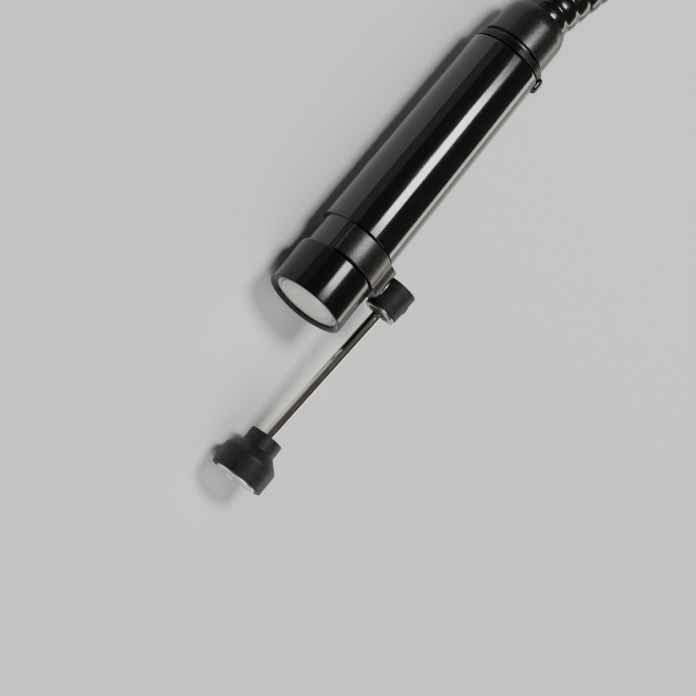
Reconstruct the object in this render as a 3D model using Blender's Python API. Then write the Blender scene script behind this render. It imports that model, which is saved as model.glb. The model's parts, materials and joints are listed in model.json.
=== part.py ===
"""Lighted magnetic pickup tool: penlight head, clipped swivel magnet arm, gooseneck and grip.

Lengths are metres and +Z is up. The tool lies on its clip, its magnet boot and its grip, with
+X the way the lens points. Head outlines are (station, radius) pairs: a station is measured
back from the bezel's rim along the barrel's axis. Neck and grip outlines are measured back
from a hinge centre, and the boot's outlines forward from its mouth.
"""

import math

import bmesh
import bpy
from mathutils import Vector

MM = 0.001

# Clearances
RUNNING = 0.20 * MM  # between pieces that turn or slide on each other
RESTING = 0.12 * MM  # between pieces that rest against each other
INNER = 0.30 * MM  # between pieces that sit one behind another inside

# Bezel, lens and reflector
BEZEL_LENGTH = 8.10 * MM
BEZEL_WALL = 0.58 * MM
BEZEL_EDGE = 0.35 * MM
LIP_OVERHANG = 0.30 * MM  # from the bezel's bore in to the lip's front edge
LIP_FLARE = 0.15 * MM
LIP_DEPTH = 0.55 * MM
LENS_THICKNESS = 1.20 * MM
LENS_SEAL_THICKNESS = 0.50 * MM
LENS_SEAL_WIDTH = 0.40 * MM
REFLECTOR_DEPTH = 3.60 * MM
REFLECTOR_WALL = 0.35 * MM
REFLECTOR_HOLE = 2.00 * MM

# Light source and battery
LED_RADIUS = 1.50 * MM
LED_HEIGHT = 1.20 * MM
LED_BASE_THICKNESS = 1.00 * MM
CONTACT_RADIUS = 2.50 * MM
CONTACT_THICKNESS = 0.50 * MM
BATTERY_RADIUS = 5.25 * MM
BATTERY_LENGTH = 43.40 * MM
NUB_RADIUS = 1.90 * MM
NUB_LENGTH = 0.80 * MM
SPRING_STEP = 0.80 * MM  # from the cap's bore in to the spring's widest turn
SPRING_TAPER = 2 / 3  # the narrowest turn over the widest
SPRING_WIRE = 0.25 * MM
SPRING_TURNS = 3.5
SPRING_SEAT_THICKNESS = 0.50 * MM

# Barrel
STUB_LENGTH = 3.20 * MM
STUB_WALL = 0.50 * MM
BEZEL_SEAL_WIDTH = 0.50 * MM
BEZEL_SEAL_DEPTH = 0.20 * MM
GROOVE_WALL = 0.72 * MM
GROOVE_LENGTH = 5.60 * MM
BARREL_FRONT_WALL = 1.25 * MM
BARREL_REAR_WALL = 0.88 * MM
CELL_OVERHANG = 0.41 * MM  # the cell's rear end behind the barrel's
BARREL_EDGE = 0.35 * MM

# Rear collar and rear cap
COLLAR_WALL = 0.80 * MM
COLLAR_LENGTH = 1.40 * MM
COLLAR_EDGE = 0.25 * MM
NIB_HEIGHT = 0.70 * MM
NIB_WIDTH = 1.60 * MM
NIB_LENGTH = 3.50 * MM
NIB_ANGLE = math.radians(20.0)
CAP_FRONT_WALL = 1.00 * MM
CAP_REAR_WALL = 0.75 * MM
CAP_LENGTH = 7.20 * MM
CAP_SHOULDER = 1.80 * MM
CAP_TIP_WALL = 0.35 * MM
CAP_STEP = 0.75 * MM  # from the barrel's bore in to the cap's
CAP_SPIGOT = 0.90 * MM
CAP_TILT = math.radians(3.5)

# Clip band and pivot
CLIP_WALL = 0.63 * MM
CLIP_PLAY = 0.25 * MM  # on each side, in its groove
CLIP_HALF_WRAP = math.radians(127.7)
CLIP_EDGE = 0.16 * MM
SEAT_RISE = 0.65 * MM  # from the band's outside to the flat seat
SEAT_HALF_ANGLE = math.radians(20.0)
SEAT_FADE_ANGLE = math.radians(38.0)
WASHER_RADIUS = 2.30 * MM
WASHER_THICKNESS = 0.30 * MM
RIVET_RADIUS = 0.90 * MM
RIVET_HEAD_RADIUS = 1.55 * MM
RIVET_HEAD_HEIGHT = 0.60 * MM
RIVET_FOOT_HEIGHT = 0.40 * MM

# Magnet arm
BLOCK_RADIUS = 2.93 * MM
BLOCK_LENGTH = 5.00 * MM
FLAT_DEPTH = 0.50 * MM  # taken off the block's round side
BLOCK_REAR_EDGE = 0.80 * MM
SOCKET_DEPTH = 1.00 * MM
RING_STEP = 0.13 * MM  # the socket ring's edge inside the block's
GROMMET_WALL = 0.785 * MM
RING_THICKNESS = 0.50 * MM
ROD_RADIUS = 0.925 * MM
ROD_LENGTH = 26.50 * MM  # between the socket ring and the boot
ROD_STOP = 0.30 * MM  # from the rod's end to the boot's shoulder
BOOT_NECK_RADIUS = 2.94 * MM
BOOT_NECK_LENGTH = 2.40 * MM
BOOT_CONE_LENGTH = 1.90 * MM
BOOT_SWELL = 0.13 * MM  # the shoulder's radius over the rim's
BOOT_RIM_RADIUS = 4.66 * MM
BOOT_CUP_LENGTH = 3.90 * MM
BOOT_WALL = 0.75 * MM
BOOT_FLOOR = 0.60 * MM  # from the shoulder to the cup's floor
BOOT_TILT = math.radians(4.5)
POT_PROUD = 0.20 * MM
POT_WALL = 0.65 * MM
POT_FLOOR = 0.80 * MM
ARM_SWING = math.radians(8.0)

# Gooseneck
NECK_STEP = 0.45 * MM  # from the cap's bore in to the ribbed sleeve
RIB_DEPTH = 0.15 * MM  # from the sleeve in to the links
LINK_PITCH = 13.75 * MM
LINK_COUNT = 11
LINK_BEND = math.radians(10.0)
LINK_EDGE = 0.50 * MM
BALL_SHARE = 21 / 41  # the ball's radius over its link's
STEM_SHARE = 4 / 7  # the stem's radius over its ball's
MOUTH_SHARE = 4 / 7  # a socket's mouth behind its hinge, over the ball's radius
FACE_SLOPE = 0.37
FERRULE_STEP = 0.55 * MM  # from the sleeve in to the neck's ferrule
HINGE_BEHIND_CAP = 0.70 * MM

# Grip
GRIP_LENGTH = 73.00 * MM
GRIP_WALL = 1.30 * MM
GRIP_RING_STEP = 0.50 * MM  # the bright rings' edge inside the grip's
GRIP_RING_LENGTH = 3.00 * MM
CORE_WALL = 1.10 * MM
FLANGE_STATION = 4.50 * MM
FLANGE_LENGTH = 3.50 * MM
FLANGE_STEP = 1.40 * MM  # the flange's edge inside the grip's
PLUG_LENGTH = 8.00 * MM
END_CAP_LENGTH = 4.50 * MM
END_CAP_EDGE = 0.60 * MM
END_SEAL_THICKNESS = 0.70 * MM

# Facets
ROUND_SIDES = 28
SMALL_SIDES = 16
LINK_SIDES = 12
FILLET_STEPS = 1
MERGE = 1e-7

# Radii of the head, built outwards from the cell
barrel_bore = BATTERY_RADIUS + RUNNING
stub_radius = barrel_bore + STUB_WALL
groove_radius = barrel_bore + GROOVE_WALL
barrel_front_radius = barrel_bore + BARREL_FRONT_WALL
barrel_rear_radius = barrel_bore + BARREL_REAR_WALL
collar_radius = barrel_bore + COLLAR_WALL
bezel_bore = stub_radius + INNER
bezel_radius = bezel_bore + BEZEL_WALL
lip_opening = bezel_bore - LIP_OVERHANG
lip_throat = lip_opening - LIP_FLARE
cap_bore = barrel_bore - CAP_STEP
cap_front_radius = cap_bore + CAP_FRONT_WALL
cap_rear_radius = cap_bore + CAP_REAR_WALL
spring_radius = cap_bore - SPRING_STEP
spring_tip_radius = SPRING_TAPER * spring_radius

# Stations behind the rim
lens_front = LIP_DEPTH + RESTING
lens_back = lens_front + LENS_THICKNESS
seal_front = lens_back + RESTING
seal_back = seal_front + LENS_SEAL_THICKNESS
reflector_front = seal_back + RESTING
reflector_back = reflector_front + REFLECTOR_DEPTH
led_base_front = reflector_back + INNER
led_base_back = led_base_front + LED_BASE_THICKNESS
contact_front = led_base_back + INNER
contact_back = contact_front + CONTACT_THICKNESS
nub_front = contact_back + INNER
nub_back = nub_front + NUB_LENGTH
battery_front = nub_back + INNER
battery_back = battery_front + BATTERY_LENGTH
groove_front = BEZEL_LENGTH + RUNNING
groove_back = BEZEL_LENGTH + GROOVE_LENGTH
stub_front = BEZEL_LENGTH - STUB_LENGTH
barrel_back = battery_back - CELL_OVERHANG
collar_front = barrel_back + RESTING
collar_back = collar_front + COLLAR_LENGTH
tail_station = collar_back + RESTING + cap_front_radius * math.sin(CAP_TILT)
clip_width = GROOVE_LENGTH - 2 * CLIP_PLAY
clip_front = BEZEL_LENGTH + CLIP_PLAY
pivot_station = clip_front + clip_width / 2

# Heights above the barrel's axis, towards the pivot
band_inside = groove_radius + RUNNING
band_outside = band_inside + CLIP_WALL
seat_height = band_outside + SEAT_RISE
block_flat = BLOCK_RADIUS - FLAT_DEPTH
washer_bottom = seat_height + RESTING
washer_top = washer_bottom + WASHER_THICKNESS
arm_height = washer_top + RESTING + block_flat
rivet_foot = band_inside + RESTING
rivet_pocket = rivet_foot + RIVET_FOOT_HEIGHT + RESTING
rivet_top = arm_height + BLOCK_RADIUS + RESTING

# Distances along the arm from the pivot, and radii about the rod
ring_front = BLOCK_LENGTH / 2 + RESTING + RING_THICKNESS
ring_radius = BLOCK_RADIUS - RING_STEP
ring_bore = ROD_RADIUS + RESTING + GROMMET_WALL + RESTING
boot_mouth = ring_front + ROD_LENGTH
boot_shoulder = BOOT_NECK_LENGTH + BOOT_CONE_LENGTH
boot_shoulder_radius = BOOT_RIM_RADIUS + BOOT_SWELL
boot_rim = boot_shoulder + BOOT_CUP_LENGTH
cup_floor = boot_shoulder + BOOT_FLOOR
rod_insertion = boot_shoulder - ROD_STOP

# Radii of the neck, built inwards from the cap
neck_radius = cap_bore - NECK_STEP
link_radius = neck_radius - RIB_DEPTH
ferrule_radius = neck_radius - FERRULE_STEP
ball_radius = BALL_SHARE * link_radius
stem_radius = STEM_SHARE * ball_radius
mouth_station = MOUTH_SHARE * ball_radius
face_station = ball_radius

# The grip, as wide as the clip so that the tool lies level, and stations from the last hinge
grip_radius = band_outside
grip_ring_radius = grip_radius - GRIP_RING_STEP
flange_radius = grip_radius - FLANGE_STEP
core_radius = grip_radius - GRIP_WALL - RESTING
core_bore = core_radius - CORE_WALL
plug_radius = core_bore - RUNNING
flange_back = FLANGE_STATION + FLANGE_LENGTH
core_front = flange_back + RESTING
front_ring_back = core_front + GRIP_RING_LENGTH
grip_front = front_ring_back + RESTING
grip_back = grip_front + GRIP_LENGTH
rear_ring_front = grip_back + RESTING
core_back = rear_ring_front + GRIP_RING_LENGTH
end_seal_front = core_back + RESTING
end_cap_front = end_seal_front + END_SEAL_THICKNESS + RESTING


def clear_scene():
    """Remove every object that the file opened with."""
    for item in list(bpy.data.objects):
        bpy.data.objects.remove(item, do_unlink=True)


def finish(name, colour, roughness, metallic):
    """Return a Principled material with this colour, roughness and metallic value."""
    material = bpy.data.materials.new(name)
    material.use_nodes = True
    shader = material.node_tree.nodes["Principled BSDF"]
    shader.inputs["Base Color"].default_value = (*colour, 1.0)
    shader.inputs["Roughness"].default_value = roughness
    shader.inputs["Metallic"].default_value = metallic
    return material


def empty(name, parent=None, location=(0.0, 0.0, 0.0), rotation=(0.0, 0.0, 0.0)):
    """Add an empty that holds a frame for the pieces parented to it."""
    holder = bpy.data.objects.new(name, None)
    holder.empty_display_size = 5 * MM
    holder.parent = parent
    holder.location = location
    holder.rotation_euler = rotation
    bpy.context.scene.collection.objects.link(holder)
    return holder


def add_piece(name, mesh_data, parent, material):
    """Link one sub-part under its frame, shaded smooth with its sharp edges kept."""
    mesh = bpy.data.meshes.new(name)
    mesh_data.to_mesh(mesh)
    mesh_data.free()
    mesh.shade_smooth()
    mesh.set_sharp_from_angle(angle=math.radians(35))
    mesh.materials.append(material)
    piece = bpy.data.objects.new(name, mesh)
    piece.parent = parent
    bpy.context.scene.collection.objects.link(piece)
    return piece


def rounded(corners):
    """Turn (station, radius, fillet) corners into an outline whose fillets are short curves."""
    outline = []
    count = len(corners)
    for index, (station, radius, fillet) in enumerate(corners):
        corner = Vector((station, radius))
        if fillet == 0.0:
            outline.append(corner)
            continue
        to_last = Vector(corners[index - 1][:2]) - corner
        to_next = Vector(corners[(index + 1) % count][:2]) - corner
        reach = min(fillet, 0.45 * to_last.length, 0.45 * to_next.length)
        begin = corner + to_last.normalized() * reach
        end = corner + to_next.normalized() * reach
        for step in range(FILLET_STEPS + 1):
            share = step / FILLET_STEPS
            outline.append(begin.lerp(corner, share).lerp(corner.lerp(end, share), share))
    return outline


def arc(centre, radius, start, stop, steps):
    """Points on an arc, its angles measured from the +station direction towards +radius."""
    angles = [start + (stop - start) * step / steps for step in range(steps + 1)]
    return [(centre + radius * math.cos(a), radius * math.sin(a)) for a in angles]


def lathe(outline, sides=ROUND_SIDES, closed=True, towards=-1):
    """Spin an outline of (station, radius) points about X; towards is the stations' direction."""
    work = bmesh.new()
    verts = [work.verts.new((towards * station, 0.0, radius)) for station, radius in outline]
    edges = [work.edges.new(pair) for pair in zip(verts, verts[1:])]
    if closed:
        edges.append(work.edges.new((verts[-1], verts[0])))
    bmesh.ops.spin(
        work, geom=verts + edges, cent=(0, 0, 0), axis=(1, 0, 0), angle=math.tau, steps=sides
    )
    bmesh.ops.remove_doubles(work, verts=work.verts, dist=MERGE)
    bmesh.ops.recalc_face_normals(work, faces=work.faces)
    return work


def ring_outline(front, back, inside, outside, edge=0.0):
    """A closed rectangular outline with its two outer corners rounded."""
    corners = [(front, inside, 0), (front, outside, edge), (back, outside, edge), (back, inside, 0)]
    return rounded(corners)


def plug_outline(front, back, radius, edge=0.0):
    """An outline for a solid disc, from axis to axis."""
    return rounded([(front, 0, 0), (front, radius, edge), (back, radius, edge), (back, 0, 0)])


def turned_upright(outline, sides=SMALL_SIDES, closed=True):
    """Spin an outline of (height, radius) points about Z."""
    work = lathe(outline, sides, closed, towards=1)
    for vert in work.verts:
        x, y, z = vert.co
        vert.co = (-z, y, x)
    bmesh.ops.recalc_face_normals(work, faces=work.faces)
    return work


def cut(piece, cutter):
    """Subtract a guide object, which stays as a wire guide, from a piece."""
    cutter.hide_render = True
    cutter.display_type = "WIRE"
    modifier = piece.modifiers.new("cut_" + cutter.name, "BOOLEAN")
    modifier.operation = "DIFFERENCE"
    modifier.object = cutter


def lug_elevation():
    """Solve for the pivot's direction above the floor that lets the boot touch the floor."""

    def boot_bottom(elevation):
        up = math.sin(elevation)
        side = -math.cos(elevation)
        rod_rise = math.sin(ARM_SWING) * side
        boot_rise = math.cos(BOOT_TILT) * rod_rise + math.sin(BOOT_TILT) * up
        mouth = band_outside + arm_height * up + boot_mouth * rod_rise
        level = math.sqrt(1 - boot_rise**2)
        shoulder = mouth + boot_shoulder * boot_rise - boot_shoulder_radius * level
        rim = mouth + boot_rim * boot_rise - BOOT_RIM_RADIUS * level
        return min(shoulder, rim)

    low, high = math.radians(-30), math.radians(70)
    for _ in range(60):
        middle = (low + high) / 2
        if boot_bottom(middle) < 0:
            low = middle
        else:
            high = middle
    return high


def make_head(head):
    """The bezel with its lens, seal and reflector, which turn or slide on the barrel."""
    corners = [
        (0, lip_opening, 0.10 * MM),
        (0, bezel_radius, BEZEL_EDGE),
        (BEZEL_LENGTH, bezel_radius, BEZEL_EDGE),
        (BEZEL_LENGTH, bezel_bore, 0),
        (LIP_DEPTH, bezel_bore, 0),
        (LIP_DEPTH, lip_throat, 0),
    ]
    anodised = finish("bezel_black_anodised", (0.006, 0.006, 0.007), 0.18, 0.0)
    add_piece("bezel_shell", lathe(rounded(corners)), head, anodised)

    disc_radius = bezel_bore - RESTING
    glass = finish("lens_clear_acrylic", (0.72, 0.78, 0.72), 0.12, 0.0)
    lens = lathe(plug_outline(lens_front, lens_back, disc_radius), closed=False)
    add_piece("lens", lens, head, glass)

    seal = ring_outline(seal_front, seal_back, disc_radius - LENS_SEAL_WIDTH, disc_radius)
    rubber = finish("lens_seal_rubber", (0.02, 0.02, 0.02), 0.7, 0.0)
    add_piece("lens_seal", lathe(seal), head, rubber)
    add_piece("reflector", reflector_body(disc_radius), head, finish(
        "reflector_chrome", (0.85, 0.87, 0.88), 0.08, 1.0
    ))


def reflector_body(flange_radius):
    """A parabolic cup: radius grows as the square root of the distance from its focus end."""
    inner_mouth = flange_radius - 2 * REFLECTOR_WALL
    steps = 5
    inner = []
    for step in range(steps + 1):
        share = step / steps
        square = REFLECTOR_HOLE**2 + (inner_mouth**2 - REFLECTOR_HOLE**2) * share
        inner.append((reflector_back - REFLECTOR_DEPTH * share, math.sqrt(square)))
    outer = [(station, radius + REFLECTOR_WALL) for station, radius in reversed(inner)]
    flange_back = reflector_front + REFLECTOR_WALL
    flange = [(reflector_front, flange_radius), (flange_back, flange_radius)]
    outer[0] = (flange_back, inner_mouth + REFLECTOR_WALL)
    return lathe(inner + flange + outer)


def make_barrel(head):
    """The barrel with its bezel seal, light source, contact and battery."""
    groove_middle = stub_front + STUB_LENGTH / 2
    half_groove = BEZEL_SEAL_WIDTH / 2 + RESTING
    seal_floor = stub_radius - BEZEL_SEAL_DEPTH
    corners = [
        (stub_front, barrel_bore, 0),
        (stub_front, stub_radius, 0),
        (groove_middle - half_groove, stub_radius, 0),
        (groove_middle - half_groove, seal_floor, 0),
        (groove_middle + half_groove, seal_floor, 0),
        (groove_middle + half_groove, stub_radius, 0),
        (groove_front, stub_radius, 0),
        (groove_front, groove_radius, 0),
        (groove_back, groove_radius, 0),
        (groove_back, barrel_front_radius, BARREL_EDGE),
        (barrel_back, barrel_rear_radius, BARREL_EDGE),
        (barrel_back, barrel_bore, 0),
    ]
    anodised = finish("barrel_black_anodised", (0.006, 0.006, 0.007), 0.16, 0.0)
    add_piece("barrel_tube", lathe(rounded(corners)), head, anodised)

    seal_front_station = groove_middle - BEZEL_SEAL_WIDTH / 2
    seal_back_station = groove_middle + BEZEL_SEAL_WIDTH / 2
    seal = ring_outline(
        seal_front_station, seal_back_station, seal_floor + RESTING, bezel_bore - RESTING
    )
    rubber = finish("bezel_seal_rubber", (0.02, 0.02, 0.02), 0.7, 0.0)
    add_piece("bezel_seal", lathe(seal), head, rubber)

    base = plug_outline(led_base_front, led_base_back, barrel_bore - RUNNING)
    board = finish("led_base_aluminium", (0.55, 0.56, 0.58), 0.35, 1.0)
    add_piece("led_base", lathe(base, SMALL_SIDES, closed=False), head, board)

    led_back = led_base_front - RESTING
    dome = arc(led_back, LED_RADIUS, math.pi, math.pi / 2, 4)
    dome = [(led_back - (led_back - s) * LED_HEIGHT / LED_RADIUS, r) for s, r in dome]
    dome[0] = (dome[0][0], 0.0)
    dome.append((led_back, 0.0))
    phosphor = finish("led_phosphor", (0.9, 0.85, 0.45), 0.25, 0.0)
    add_piece("led_dome", lathe(dome, SMALL_SIDES, closed=False), head, phosphor)

    plate = plug_outline(contact_front, contact_back, CONTACT_RADIUS)
    brass = finish("front_contact_brass", (0.78, 0.60, 0.28), 0.3, 1.0)
    add_piece("front_contact", lathe(plate, SMALL_SIDES, closed=False), head, brass)

    nub = plug_outline(nub_front, nub_back, NUB_RADIUS)
    nickel = finish("battery_nub_nickel", (0.75, 0.74, 0.70), 0.25, 1.0)
    add_piece("battery_nub", lathe(nub, SMALL_SIDES, closed=False), head, nickel)

    can = plug_outline(battery_front, battery_back, BATTERY_RADIUS, BARREL_EDGE)
    sleeve = finish("battery_can_film", (0.12, 0.20, 0.30), 0.35, 0.3)
    add_piece("battery_can", lathe(can, closed=False), head, sleeve)


def make_collar(head):
    """The rear collar, with a locating nib that laps forward over the barrel's end."""
    ring = ring_outline(collar_front, collar_back, barrel_bore, collar_radius, COLLAR_EDGE)
    nylon = finish("rear_collar_nylon", (0.010, 0.010, 0.011), 0.28, 0.0)
    collar = add_piece("rear_collar", lathe(ring), head, nylon)

    nib_top = barrel_rear_radius + NIB_HEIGHT
    nib_bottom = barrel_rear_radius + RUNNING
    foot = (collar_radius + barrel_bore) / 2
    foot_front = collar_front + COLLAR_EDGE
    nib_back = collar_back - COLLAR_EDGE
    nib_front = nib_back - NIB_LENGTH
    side = [(nib_back, foot), (nib_back, nib_top - COLLAR_EDGE), (nib_back - COLLAR_EDGE, nib_top)]
    side += [(nib_front + COLLAR_EDGE, nib_top), (nib_front, nib_top - COLLAR_EDGE)]
    side += [(nib_front, nib_bottom), (foot_front, nib_bottom), (foot_front, foot)]
    nib = add_piece("nib_guide", extruded(side, NIB_WIDTH), head, nylon)
    nib.rotation_euler = (NIB_ANGLE, 0, 0)
    nib.hide_render = True
    nib.display_type = "WIRE"
    union = collar.modifiers.new("nib", "BOOLEAN")
    union.operation = "UNION"
    union.object = nib


def extruded(side, width):
    """A slab of this width across Y, its side given as (station, height) points."""
    work = bmesh.new()
    verts = [work.verts.new((-station, -width / 2, height)) for station, height in side]
    face = work.faces.new(verts)
    grown = bmesh.ops.extrude_face_region(work, geom=[face])
    moved = [part for part in grown["geom"] if isinstance(part, bmesh.types.BMVert)]
    bmesh.ops.translate(work, verts=moved, vec=(0, width, 0))
    bmesh.ops.recalc_face_normals(work, faces=work.faces)
    return work


def spring_path():
    """A tapering helix about X, from the battery's rear to the spring's seat."""
    steps = round(SPRING_TURNS * 10)
    points = []
    for step in range(steps + 1):
        share = step / steps
        angle = math.tau * SPRING_TURNS * share
        radius = spring_tip_radius + (spring_radius - spring_tip_radius) * share
        points.append((-share, radius * math.cos(angle), radius * math.sin(angle)))
    return points


def make_tail(tail):
    """The rear cap, the battery's spring and seat, and the neck's ferrule inside the cap."""
    mouth = neck_radius + RUNNING
    seat_front = CAP_LENGTH - CAP_SHOULDER - 2 * SPRING_SEAT_THICKNESS - INNER
    seat_back = seat_front + SPRING_SEAT_THICKNESS
    corners = [
        (-CAP_SPIGOT, cap_bore, 0),
        (-CAP_SPIGOT, barrel_bore - RUNNING, 0),
        (0, barrel_bore - RUNNING, 0),
        (0, cap_front_radius, COLLAR_EDGE),
        (CAP_LENGTH - CAP_SHOULDER, cap_rear_radius, BARREL_EDGE),
        (CAP_LENGTH, mouth + CAP_TIP_WALL, COLLAR_EDGE),
        (CAP_LENGTH, mouth, 0),
        (seat_back + INNER, mouth, 0),
        (seat_back + INNER, cap_bore, 0),
    ]
    rubber = finish("rear_cap_rubber", (0.012, 0.012, 0.013), 0.42, 0.0)
    add_piece("rear_cap", lathe(rounded(corners)), tail, rubber)

    seat = plug_outline(seat_front, seat_back, cap_bore - RUNNING)
    brass = finish("spring_seat_brass", (0.78, 0.60, 0.28), 0.3, 1.0)
    add_piece("spring_seat", lathe(seat, SMALL_SIDES, closed=False), tail, brass)

    spring_back = seat_front - INNER - SPRING_WIRE
    spring_front = battery_back - tail_station + INNER + SPRING_WIRE
    curve = bpy.data.curves.new("battery_spring", "CURVE")
    curve.dimensions = "3D"
    curve.bevel_depth = SPRING_WIRE
    curve.bevel_resolution = 1
    curve.use_fill_caps = True
    spline = curve.splines.new("POLY")
    path = spring_path()
    spline.points.add(len(path) - 1)
    for point, (share, y, z) in zip(spline.points, path):
        station = spring_front - share * (spring_back - spring_front)
        point.co = (-station, y, z, 1.0)
    curve.materials.append(finish("battery_spring_steel", (0.7, 0.7, 0.7), 0.25, 1.0))
    spring = bpy.data.objects.new("battery_spring", curve)
    spring.parent = tail
    bpy.context.scene.collection.objects.link(spring)

    ferrule_front = seat_back + INNER
    hinge = CAP_LENGTH + HINGE_BEHIND_CAP
    socket = socket_outline(hinge)
    corners = [(ferrule_front, 0, 0), (ferrule_front, ferrule_radius, 0)]
    corners.append((hinge + mouth_station - INNER, ferrule_radius, LINK_EDGE))
    outline = rounded(corners) + socket
    steel = finish("neck_ferrule_steel", (0.45, 0.45, 0.46), 0.35, 1.0)
    add_piece("neck_ferrule", lathe(outline, LINK_SIDES, closed=False), tail, steel)


def socket_outline(hinge):
    """The inside of a ball socket, from its mouth to the axis."""
    radius = ball_radius + INNER
    start = math.acos(mouth_station / radius)
    points = arc(hinge, radius, start, math.pi, 4)
    points[-1] = (points[-1][0], 0.0)
    return points


def ball_outline():
    """The front of a link: its ball on a stem, from the axis to the foot of its face."""
    root = math.asin(stem_radius / ball_radius)
    points = arc(0.0, ball_radius, math.pi, root, 4)
    points[0] = (points[0][0], 0.0)
    return points + [(face_station, stem_radius)]


def make_links(tail_frame):
    """The gooseneck's links, each on the hinge in front of it; returns the last hinge's frame."""
    steel = finish("neck_link_steel", (0.35, 0.35, 0.36), 0.4, 1.0)
    frame = tail_frame
    offset = CAP_LENGTH + HINGE_BEHIND_CAP
    for number in range(1, LINK_COUNT + 1):
        turn = LINK_BEND if number % 2 == 1 else 0.0
        name = "neck_hinge_%02d" % number
        frame = empty(name, frame, (-offset, 0, 0), (0, 0, -turn))
        offset = LINK_PITCH
        rear_edge = LINK_PITCH + mouth_station - FACE_SLOPE * (link_radius - ball_radius)
        corners = [
            (0, stem_radius, 0),
            (face_station, link_radius, LINK_EDGE),
            (rear_edge, link_radius, LINK_EDGE),
            (LINK_PITCH + mouth_station, ball_radius, 0),
        ]
        outline = ball_outline() + rounded(corners)[1:-1] + socket_outline(LINK_PITCH)
        material = steel.copy()
        material.name = "neck_link_steel_%02d" % number
        link = lathe(outline, LINK_SIDES, closed=False)
        add_piece("neck_link_%02d" % number, link, frame, material)
    return empty("neck_hinge_%02d" % (LINK_COUNT + 1), frame, (-offset, 0, 0))


def make_grip(grip):
    """The grip: ferrule, core tube, rubber sleeve, two rings, end seal and end cap."""
    corners = [
        (0, stem_radius, 0),
        (face_station, link_radius, LINK_EDGE),
        (FLANGE_STATION, link_radius, 0),
        (FLANGE_STATION, flange_radius, LINK_EDGE),
        (flange_back, flange_radius, COLLAR_EDGE),
        (flange_back, plug_radius, 0),
        (flange_back + PLUG_LENGTH, plug_radius, COLLAR_EDGE),
        (flange_back + PLUG_LENGTH, 0, 0),
    ]
    outline = ball_outline() + rounded(corners)[1:]
    steel = finish("handle_ferrule_steel", (0.55, 0.55, 0.56), 0.3, 1.0)
    add_piece("handle_ferrule", lathe(outline, SMALL_SIDES, closed=False), grip, steel)

    tube = ring_outline(core_front, core_back, core_bore, core_radius)
    alloy = finish("handle_core_aluminium", (0.5, 0.5, 0.52), 0.35, 1.0)
    add_piece("handle_core", lathe(tube), grip, alloy)

    sleeve_bore = core_radius + RESTING
    sleeve = ring_outline(grip_front, grip_back, sleeve_bore, grip_radius, LINK_EDGE)
    rubber = finish("grip_sleeve_rubber", (0.015, 0.015, 0.016), 0.6, 0.0)
    add_piece("grip_sleeve", lathe(sleeve), grip, rubber)

    for name, front in (("grip_ring_front", core_front), ("grip_ring_rear", rear_ring_front)):
        back = front + GRIP_RING_LENGTH
        ring = ring_outline(front, back, sleeve_bore, grip_ring_radius, COLLAR_EDGE)
        chrome = finish(name + "_chrome", (0.75, 0.75, 0.76), 0.15, 1.0)
        add_piece(name, lathe(ring), grip, chrome)

    seal = ring_outline(end_seal_front, end_seal_front + END_SEAL_THICKNESS, core_bore, grip_ring_radius)
    rubber = finish("end_seal_rubber", (0.02, 0.02, 0.02), 0.7, 0.0)
    add_piece("end_seal", lathe(seal), grip, rubber)

    end_cap_back = end_cap_front + END_CAP_LENGTH
    plug_front = end_cap_front - PLUG_LENGTH
    corners = [
        (plug_front, 0, 0),
        (plug_front, plug_radius, COLLAR_EDGE),
        (end_cap_front, plug_radius, 0),
        (end_cap_front, grip_radius, COLLAR_EDGE),
        (end_cap_back, grip_radius, END_CAP_EDGE),
        (end_cap_back, 0, 0),
    ]
    anodised = finish("end_cap_anodised", (0.01, 0.01, 0.011), 0.2, 0.0)
    add_piece("end_cap", lathe(rounded(corners), closed=False), grip, anodised)


def clip_section(angle):
    """The band's section at an angle from the seat: (station, radius) corners."""
    away = abs(angle)
    flat = seat_height / math.cos(min(away, SEAT_HALF_ANGLE))
    if away <= SEAT_HALF_ANGLE:
        outside = flat
    elif away < SEAT_FADE_ANGLE:
        share = (away - SEAT_HALF_ANGLE) / (SEAT_FADE_ANGLE - SEAT_HALF_ANGLE)
        outside = band_outside + (flat - band_outside) * (1 - share) ** 2
    else:
        outside = band_outside
    to_lip = CLIP_HALF_WRAP - away
    lip = CLIP_WALL / band_outside
    if to_lip < lip:
        outside -= 0.4 * CLIP_WALL * (1 - to_lip / lip)
    back = clip_front + clip_width
    return [
        (clip_front, band_inside),
        (clip_front, outside - CLIP_EDGE),
        (clip_front + CLIP_EDGE, outside),
        (back - CLIP_EDGE, outside),
        (back, outside - CLIP_EDGE),
        (back, band_inside),
    ]


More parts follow.
